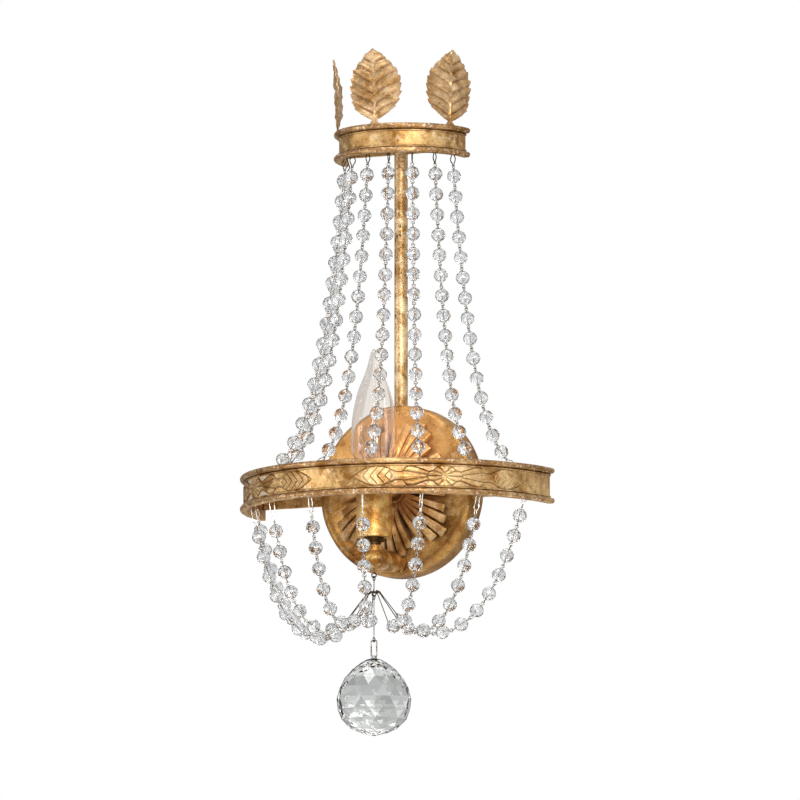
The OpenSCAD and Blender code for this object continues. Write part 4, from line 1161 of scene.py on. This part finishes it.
def plate_face(plate, x):
    """Distance of the backplate's face off the wall at a radius."""
    return plate.depth - SEAT_DOME + SEAT_DOME * (1 - (x / (plate.radius - SEAT_IN)) ** 2)


NIPPLE_BORE = STEM_BORE = 4.9 * MM
STEM_OUT = 8.4 * MM
ARM_BORE, ARM_DROP = 7.65 * MM, 50.7 * MM
# The slots for the ring's back bar, cut by a slab right through the rim.
BAR_SLOT, BAR_MIDDLE = 5.55 * MM, -1 * MM
SLAB_HALF, SLAB_BACK, SLAB_FRONT = 0.07, -1.9 * MM, -5.3 * MM


class SCONCE_OT_backplate(bpy.types.Operator):
    """Round domed backplate"""
    bl_idname = "sconce.backplate"
    bl_label = "Backplate"

    def execute(self, context):
        plate = context.scene.sconce_plate
        bore = NIPPLE_BORE
        outer = [p for p in plate_outline(plate, plate.radius, 0) if p[0] > bore] + [(bore, plate.depth)]
        inner = [p for p in plate_outline(plate, plate.radius - plate.sheet, plate.sheet) if p[0] > bore]
        inner += [(bore, plate.depth - plate.sheet)]
        outline = outer + inner[::-1]
        points, faces = turned(outline, 180)
        out = []
        for p in points:
            push = wandering(p, 55, 0.35 * MM)
            inward = step(0, 3 * MM, p.z)
            out.append(p + Vector((push.x, push.y, push.z)) * inward * 0.7)
        to_wall = Matrix.Rotation(pi / 2, 4, "X")
        mesh = make_mesh("backplate_spun", moved((out, faces), to_wall), 40)

        def rod(radius, low, high, matrix):
            places = [lambda x, y, z=z: Vector((x, y, z)) for z in (low, high)]
            return moved(swept(circle(radius, 48), places), matrix)
        bar = [(x, z * BAR_SLOT) for x, z in ((-SLAB_HALF, -1), (SLAB_HALF, -1), (SLAB_HALF, 1), (-SLAB_HALF, 1))]
        slab = swept(bar, [lambda x, z, y=y: Vector((x, y, z + BAR_MIDDLE)) for y in (SLAB_BACK, SLAB_FRONT)])
        cutters = [
            rod(STEM_BORE, 46 * MM, 68 * MM, Matrix.Translation((0, -STEM_OUT, 0))),
            rod(ARM_BORE, 0, 0.03, Matrix.Translation((0, 0, -ARM_DROP)) @ to_wall),
            slab,
        ]
        mesh = cut_away(mesh, cutters)
        gold = gold_leaf("plate_gold", (0.96, 0.84, 0.56), shaded=True, speckle=0.7, worn=0.8, glow=0.75)
        place_piece("backplate_spun", mesh, "frame", gold, ["backplate"])
        return {"FINISHED"}


# Length of each finger of a fan, as a share of the rosette's radius.
FINGERS = [0.80, 0.94, 1.0, 0.92, 0.84]
FINGER_TURN = radians(9.1)
HUB_R = 9 * MM             # the fans start here
ROSETTE_BORE = 5.1 * MM
VALLEY = 17 * MM           # how far the sheet reaches between two fans
BENT_TIP = 3.2 * MM        # lift of the one finger that is bent forward


def finger_end(across):
    """Share of a finger's length across its width: square, with softened corners."""
    return 1 - 0.035 * max(0.0, (abs(across) - 0.72) / 0.28) ** 2


class SCONCE_OT_rosette(bpy.types.Operator):
    """Pressed rosette of fanned leaves on the backplate"""
    bl_idname = "sconce.rosette"
    bl_label = "Rosette"

    def execute(self, context):
        plate = context.scene.sconce_plate
        count = plate.rosette_leaves
        columns = []
        for k in range(count):
            base = 2 * pi * k / count
            for j, share in enumerate(FINGERS):
                for n in range(11):
                    e = n / 5 - 1
                    columns.append((base + (j - 2 + 0.488 * e) * FINGER_TURN,
                                    plate.rosette_radius * share * finger_end(e), e, j, k))
            columns.append((base + pi / count, VALLEY, 0, None, k))
        levels = [-1, 0, 0.07, 0.14, 0.22, 0.3, 0.38, 0.46, 0.54, 0.62, 0.7, 0.78, 0.84, 0.9, 0.95, 0.985, 1]
        place = Matrix.Translation((0, -plate.depth - plate.rosette_sheet - SEAT, 0)) \
            @ Matrix.Rotation(pi / 2, 4, "X") @ Matrix.Rotation(pi / 2 - pi / count, 4, "Z")

        def point(column, u, back):
            turn, reach, e, j, k = column
            r = ROSETTE_BORE if u < 0 else HUB_R + u * (reach - HUB_R)
            if u <= 0:
                h = 0.0
            else:
                rise = (7.3 * sin(pi * u ** 0.8) + 2.6 * u ** 3) * min(1, reach / (30 * MM) + 0.2)
                if j is None:
                    ridge = 0.0
                else:
                    roof = 1 - 0.2 * abs(e) - 0.8 * abs(e) ** 10 + 0.42 * e
                    rib = 0.13 * cos(e * 4 * pi) * (1 - e * e) * step(0.1, 0.4, u)
                    ridge = (1.5 * roof + rib - 0.1 + 0.45 * (j % 2)) * sin(radians(140) * u)
                    ridge += 0.4 * noise.noise(Vector((turn * 9, u * 5, 1.0))) * u
                h = (rise + ridge) * MM - (plate.depth - plate_face(plate, r))
                if j is not None and k == 1 and j == 4:
                    h += BENT_TIP * step(0.62, 1.0, u)
            thick = 0 if u > 0.985 else back
            return place @ Vector((r * cos(turn), r * sin(turn), h - back * (0.75 if u == 1 else 1)))
        front = [[point(c, u, 0) for c in columns] for u in levels]
        back = [[point(c, u, plate.rosette_sheet) for c in columns] for u in levels]
        n, rows = len(columns), len(levels)
        points = [p for row in front for p in row] + [p for row in back for p in row]
        half = n * rows
        faces = []
        for i in range(rows - 1):
            for j in range(n):
                a, b = i * n + j, i * n + (j + 1) % n
                faces.append((a, b, b + n, a + n))
                faces.append((half + a, half + a + n, half + b + n, half + b))
        for j in range(n):
            b = (j + 1) % n
            faces.append((j, half + j, half + b, b))
            faces.append((half - n + j, half - n + b, 2 * half - n + b, 2 * half - n + j))
        gold = gold_leaf("rosette_gold", (1.02, 1.0, 0.96), speckle=0.45, worn=0.7, glow=0.62)
        place_piece("rosette_pressed", make_mesh("rosette_pressed", (points, faces), 40), "frame",
                    gold, ["rosette"])
        return {"FINISHED"}


def flame_radius(candle, p):
    """Radius of the flame bulb at a share of the glass's height."""
    neck, wide = candle.screw_width / 2 - 0.6 * MM, candle.bulb_width / 2
    if p < 0.36:
        return neck + (wide - neck) * sin(pi / 2 * min(1.0, max(0.0, (p - 0.107) / 0.123)))
    q = (p - 0.36) / 0.64
    return wide * cos(pi / 2 * q) * (1 - 0.1 * round_bump(q, 0.72, 0.22)) + 0.9 * MM * round_bump(p, 0.97, 0.1)


GLASS_WALL = 0.55 * MM
COIL_WIRE, COIL_R, COIL_TURNS = 0.1 * MM, 0.36 * MM, 30
COIL_BOW = 3.4 * MM        # radius of the arch that the filament makes
COIL_STEPS = 240


class SCONCE_OT_bulb(bpy.types.Operator):
    """Clear flame bulb with its stem, supports and filament"""
    bl_idname = "sconce.bulb"
    bl_label = "Flame bulb"

    def execute(self, context):
        candle = context.scene.sconce_candle
        height = candle.bulb_tip - candle.bulb_foot
        place = Matrix.Translation((0, -candle.axis_out, candle.bulb_foot))
        outer = []
        for k in range(97):
            p = k / 96
            r = flame_radius(candle, p)
            if p > 0.97:
                r *= sqrt(max(0.0, 1 - ((p - 0.97) / 0.03) ** 2))
            outer.append((max(0.02 * MM, r), height * p))
        wall = GLASS_WALL
        inner = [(max(0.02 * MM, r - wall), z + (wall if k > 88 else 0)) for k, (r, z) in enumerate(outer[2:91])]
        outline = [(3.6 * MM, 0)] + outer + inner[::-1] + [(3.6 * MM, inner[0][1])]
        glass = cut_glass("bulb_glass", screen(249, 245, 241), BULB_IOR, marks=False)
        place_piece("bulb_glass_blown", make_mesh("bulb_glass_blown", moved(turned(outline, 96), place), 60), "bulb",
                    glass, ["bulb_glass"])
        foot = -0.6 * MM
        stem = [(0.05 * MM, foot), (3.2 * MM, foot), (3.3 * MM, foot + 2.6 * MM), (3.0 * MM, foot + 4.2 * MM),
                (2.2 * MM, foot + 7.5 * MM), (1.8 * MM, foot + 11 * MM), (2.5 * MM, foot + 13.4 * MM),
                (1.9 * MM, foot + 15.6 * MM), (0.9 * MM, foot + 16.4 * MM), (0.05 * MM, foot + 16.5 * MM)]
        parts = [turned(stem, 32)]
        bridge = 0.42 * height
        arch = bridge - 2.6 * MM
        for s in (-1, 1):
            path = [(s * 1.1 * MM, 0, foot + 14 * MM), (s * 1.6 * MM, 0, foot + 20 * MM),
                    (s * 3.2 * MM, 0, bridge - 4 * MM), (s * COIL_BOW, 0, arch)]
            parts.append(tube(path, 0.25 * MM, 8))
        milk = moulded("bulb_stem", screen(246, 240, 228), 0.25)
        coil = []
        for k in range(COIL_STEPS + 1):
            a = pi * k / COIL_STEPS
            spin = 2 * pi * COIL_TURNS * k / COIL_STEPS
            r = COIL_BOW + COIL_R * cos(spin)
            coil.append((r * cos(a), COIL_R * sin(spin), arch + r * sin(a)))
        parts.append(tube(coil, COIL_WIRE, 6))
        mesh = make_mesh("bulb_stem_drawn", moved(joined(parts), place), 40)
        place_piece("bulb_stem_drawn", mesh, "bulb", milk, ["bulb_mount"])
        return {"FINISHED"}


# Rings of the ball's facets: distance below its tip and radius, in mm.
BALL_RINGS = [(0.0, 1.6), (0.25, 2.0), (2.15, 2.05), (3.0, 5.2), (5.6, 9.7), (10.0, 15.4), (15.9, 20.5), (22.9, 24.3),
              (30.6, 26.2), (38.4, 25.6), (45.3, 22.6), (50.9, 17.0), (54.6, 9.6), (56.5, 1.6)]
BALL_TOP = Vector((0, -50, -119.35))   # in mm
BALL_HOLE = 1.25                       # mm below its top
BALL_BORE = 0.75 * MM
BALL_SIDES = 16


class SCONCE_OT_ball(bpy.types.Operator):
    """Faceted crystal ball under a drilled tip"""
    bl_idname = "sconce.ball"
    bl_label = "Crystal ball"

    def execute(self, context):
        points, faces, n = [], [], BALL_SIDES
        for i, (down, r) in enumerate(BALL_RINGS):
            for j in range(n):
                a = (j + i % 2 / 2 + 0.3) * 2 * pi / n
                points.append((BALL_TOP + Vector((r * cos(a), r * sin(a), -down))) * MM)
        for i in range(len(BALL_RINGS) - 1):
            for j in range(n):
                a, b = i * n + j, i * n + (j + 1) % n
                c, d = a + n, b + n
                faces += [(a, c, b), (b, c, d)] if i % 2 == 0 else [(a, c, d), (a, d, b)]
        faces += [tuple(range(n)), tuple(range(len(points) - 1, len(points) - n - 1, -1))]
        hole = swept(circle(BALL_BORE, 24), [lambda y, z, x=x: Vector((x, y, z)) for x in (-6 * MM, 6 * MM)])
        hole = moved(hole, Matrix.Translation((BALL_TOP - Vector((0, 0, BALL_HOLE))) * MM))
        mesh = cut_away(make_mesh("crystal_ball_cut", (points, faces), 0), [hole])
        mesh.polygons.foreach_set("use_smooth", [False] * len(mesh.polygons))
        paint_facet_shades(mesh, BALL_FACET_SHADES)
        glass = cut_glass("ball_crystal", screen(232, 234, 231), CRYSTAL_IOR, marks=False,
                          facets=screen(186, 189, 188))
        place_piece("crystal_ball_cut", mesh, "crystal_ball", glass, ["crystal_ball"])
        return {"FINISHED"}


class SCONCE_OT_finishes(bpy.types.Operator):
    """Finishes of the solids that keep their own shape"""
    bl_idname = "sconce.finishes"
    bl_label = "Finishes of the plain solids"

    def execute(self, context):
        tube_gold = gold_leaf("tube_gold", (0.92, 0.84, 0.62), speckle=0.4, worn=0.3, shaded=True)
        stem = gold_leaf("stem_gold", (1.1, 1.2, 1.5), speckle=0.85, worn=0.3)
        # Painted light: a brighter copy of the gold leaf, standing in for the light that falls on the sleeve.
        lit_sleeve = gold_leaf("sleeve_gold_brightened", (1.42, 1.27, 0.95), speckle=0.4, worn=0.3)
        zinc = plain_metal("zinc_steel", screen(188, 190, 190), screen(140, 142, 140), 0.32)
        brass = plain_metal("plain_brass", screen(226, 188, 116), screen(170, 128, 66), 0.26)
        green = plain_metal("green_screw", screen(60, 142, 78), screen(28, 84, 44), 0.3)
        black = moulded("phenolic", screen(46, 38, 34), 0.3)
        insulation = moulded("wire_insulation", screen(228, 224, 212), 0.42)
        dark = plain_metal("dark_wire", screen(112, 92, 72), screen(58, 46, 38), 0.3)
        hook = plain_metal("pendant_wire_metal", screen(150, 142, 132), screen(70, 62, 54), 0.18)
        elbow = gold_leaf("elbow_gold", (0.84, 0.72, 0.42), speckle=0.5, worn=0.2, shaded=True)
        # Painted shade: the lock nuts and the neck nipple are painted dark as the shade in the gap under the sleeve.
        shadowed_brass = plain_metal("brass_in_shadow", screen(92, 66, 38), screen(44, 28, 14), 0.4)
        given = {
            "stem_rod": stem, "cap_nut": tube_gold, "arm_tube": tube_gold, "elbow": elbow, "candle_sleeve": lit_sleeve,
            "mounting_strap": zinc, "strap_nipple": brass, "lock_nuts": shadowed_brass, "ground_screw": green,
            "neck_nipple": shadowed_brass, "socket_body": black, "socket_shell": brass, "socket_contact": brass,
            "lead_wires": insulation, "bulb_base": brass, "screw_eye": dark, "hub_hanger": dark,
            "pendant_wire": hook, "pendant_clip": hook,
        }
        for name, material in given.items():
            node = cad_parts[name]
            if node.data.materials:
                for k in range(len(node.data.materials)):
                    node.data.materials[k] = material
            else:
                node.data.materials.append(material)
        return {"FINISHED"}


# The camera fitted to the photo, in metres and radians.
CAMERA_TARGET = Vector((-5.19, 0, 66.74)) * MM
CAMERA_AZIMUTH, CAMERA_RISE = radians(27.155), radians(-7.30)
CAMERA_AWAY = 7.605
CAMERA_LENS = 484.75
FLOOR_Z = -1.3
FLOOR_HALF = 1.7
BRIGHT_SIDE = (0.88, -0.47, 0.0)
# Soft lights: place, size, power in watts, and colour.
LIGHTS = {
    "key": ((1.4, -2.2, 0.3), 1.2, 42, (1.0, 0.97, 0.93)),
    "fill": ((-2.0, -1.9, 0.0), 1.5, 23, (1.0, 0.98, 0.96)),
    "top": ((0.0, -0.7, 2.3), 1.0, 18, (1.0, 1.0, 1.0)),
}
# The room that gold and glass see, from straight down (0) to straight up (1), and its strength from the far to
# the bright side. What is seen through glass is greyer and patchy.
ROOM_COLOURS = [(0.0, (0.27, 0.24, 0.2, 1)), (0.40, (0.52, 0.52, 0.52, 1)), (0.52, (1, 1, 1, 1)),
                (0.70, (0.74, 0.74, 0.74, 1)), (1.0, (0.95, 0.96, 1.0, 1))]
ROOM_STRENGTH = (0.40, 1.12)
SEEN_COLOURS = [(0.0, (0.62, 0.62, 0.61, 1)), (0.62, (1, 1, 1, 1))]
SEEN_STRENGTH = (0.74, 0.98)


class SCONCE_OT_stage(bpy.types.Operator):
    """Pale floor, soft lights and the camera"""
    bl_idname = "sconce.stage"
    bl_label = "Stage"

    def execute(self, context):
        scene = context.scene
        floor = bpy.data.meshes.new("floor")
        work = bmesh.new()
        bmesh.ops.create_grid(work, x_segments=24, y_segments=24, size=FLOOR_HALF)
        work.to_mesh(floor)
        work.free()
        ground = bpy.data.objects.new("floor", floor)
        ground.location.z = FLOOR_Z
        f = Finish("floor_paper")
        paper = f.blend(f.clouds(3), screen(247, 246, 244), screen(252, 251, 250))
        f.set(Base_Color=paper, Roughness=0.9, Emission_Color=paper)
        f.shader.inputs["Emission Strength"].default_value = 0.4
        floor.materials.append(f.material)
        scene.collection.objects.link(ground)

        for name, values in LIGHTS.items():
            self.add_light(name, *values)
        self.light_world(scene)

        camera = bpy.data.objects.new("camera", bpy.data.cameras.new("camera"))
        scene.collection.objects.link(camera)
        back = Vector((sin(CAMERA_AZIMUTH) * cos(CAMERA_RISE), -cos(CAMERA_AZIMUTH) * cos(CAMERA_RISE),
                       sin(CAMERA_RISE)))
        camera.location = CAMERA_TARGET + back * CAMERA_AWAY
        camera.rotation_mode = "QUATERNION"
        camera.rotation_quaternion = (-back).to_track_quat("-Z", "Y")
        camera.data.sensor_width = 36
        camera.data.lens = CAMERA_LENS
        camera.data.clip_start, camera.data.clip_end = 0.1, 100
        scene.camera = camera
        scene.view_settings.view_transform = "Standard"
        return {"FINISHED"}

    def add_light(self, name, place, size, power, colour):
        light = bpy.data.lights.new(name, "AREA")
        light.shape, light.size, light.energy, light.color = "DISK", size, power, colour
        lamp = bpy.data.objects.new(name, light)
        lamp.location = place
        lamp.rotation_euler = (Vector((0, 0, 0.05)) - Vector(place)).to_track_quat("-Z", "Y").to_euler()
        bpy.context.scene.collection.objects.link(lamp)

    def light_world(self, scene):
        """White to the camera. Glass and gold see a softer room, darker low down and behind."""
        world = bpy.data.worlds.new("soft_room")
        scene.world = world
        world.use_nodes = True
        n = Nodes(world.node_tree)
        way = n.add("ShaderNodeTexCoord").outputs["Generated"]
        split = n.add("ShaderNodeSeparateXYZ")
        n.join(way, split.inputs[0])
        height = n.sums("MULTIPLY_ADD", split.outputs["Z"], 0.5, 0.5)

        facing = n.add("ShaderNodeVectorMath", operation="DOT_PRODUCT")
        n.join(way, facing.inputs[0])
        facing.inputs[1].default_value = BRIGHT_SIDE
        side = n.fit(facing.outputs["Value"], -1.0, 1.0, *ROOM_STRENGTH, rise="LINEAR")
        room = n.chain("ShaderNodeBackground", n.ramp(height, ROOM_COLOURS), side)

        patches = n.add("ShaderNodeTexVoronoi")
        n.join(way, patches.inputs["Vector"])
        patches.inputs["Scale"].default_value = 2.4
        patch = n.chain("ShaderNodeSeparateColor", patches.outputs["Color"])
        varied = n.fit(patch, 0.1, 0.9, *SEEN_STRENGTH, rise="LINEAR")
        seen = n.chain("ShaderNodeBackground", n.ramp(height, SEEN_COLOURS), varied)

        path, output = n.add("ShaderNodeLightPath"), n.add("ShaderNodeOutputWorld")
        white = n.chain("ShaderNodeBackground", (1.0, 1.0, 1.0, 1.0), 1.0)
        shown = n.chain("ShaderNodeMixShader", path.outputs["Is Transmission Ray"], room, seen)
        shown = n.chain("ShaderNodeMixShader", path.outputs["Is Camera Ray"], shown, white)
        n.join(shown, output.inputs["Surface"])


class SCONCE_PT_panel(bpy.types.Panel):
    """Sizes, finishes and pieces of the sconce"""
    bl_label = "Crystal bead sconce"
    bl_idname = "SCONCE_PT_panel"
    bl_space_type = "VIEW_3D"
    bl_region_type = "UI"
    bl_category = "Sconce"

    def draw(self, context):
        for title, name in (("Bands", "sconce_bands"), ("Plate", "sconce_plate"), ("Candle", "sconce_candle"),
                            ("Finish", "sconce_finish")):
            box = self.layout.box()
            box.label(text=title)
            group = getattr(context.scene, name)
            for key in group.__annotations__:
                box.prop(group, key)
        for operator in OPERATORS:
            self.layout.operator(operator.bl_idname)


OPERATORS = (
    SCONCE_OT_stage, SCONCE_OT_bands, SCONCE_OT_crown_leaves, SCONCE_OT_garlands, SCONCE_OT_backplate,
    SCONCE_OT_rosette, SCONCE_OT_bulb, SCONCE_OT_beads, SCONCE_OT_strand_wires, SCONCE_OT_ball, SCONCE_OT_finishes,
)
GROUPS = {"sconce_bands": SconceBands, "sconce_plate": SconcePlate, "sconce_candle": SconceCandle,
          "sconce_finish": SconceFinish}


def register():
    for made in (*GROUPS.values(), *OPERATORS, SCONCE_PT_panel):
        bpy.utils.register_class(made)
    for name, group in GROUPS.items():
        setattr(bpy.types.Scene, name, PointerProperty(type=group))


def unregister():
    for name in GROUPS:
        delattr(bpy.types.Scene, name)
    for made in reversed((*GROUPS.values(), *OPERATORS, SCONCE_PT_panel)):
        bpy.utils.unregister_class(made)


def main():
    register()
    for operator in OPERATORS:
        group, name = operator.bl_idname.split(".")
        getattr(getattr(bpy.ops, group), name)()


if __name__ == "__main__":
    main()
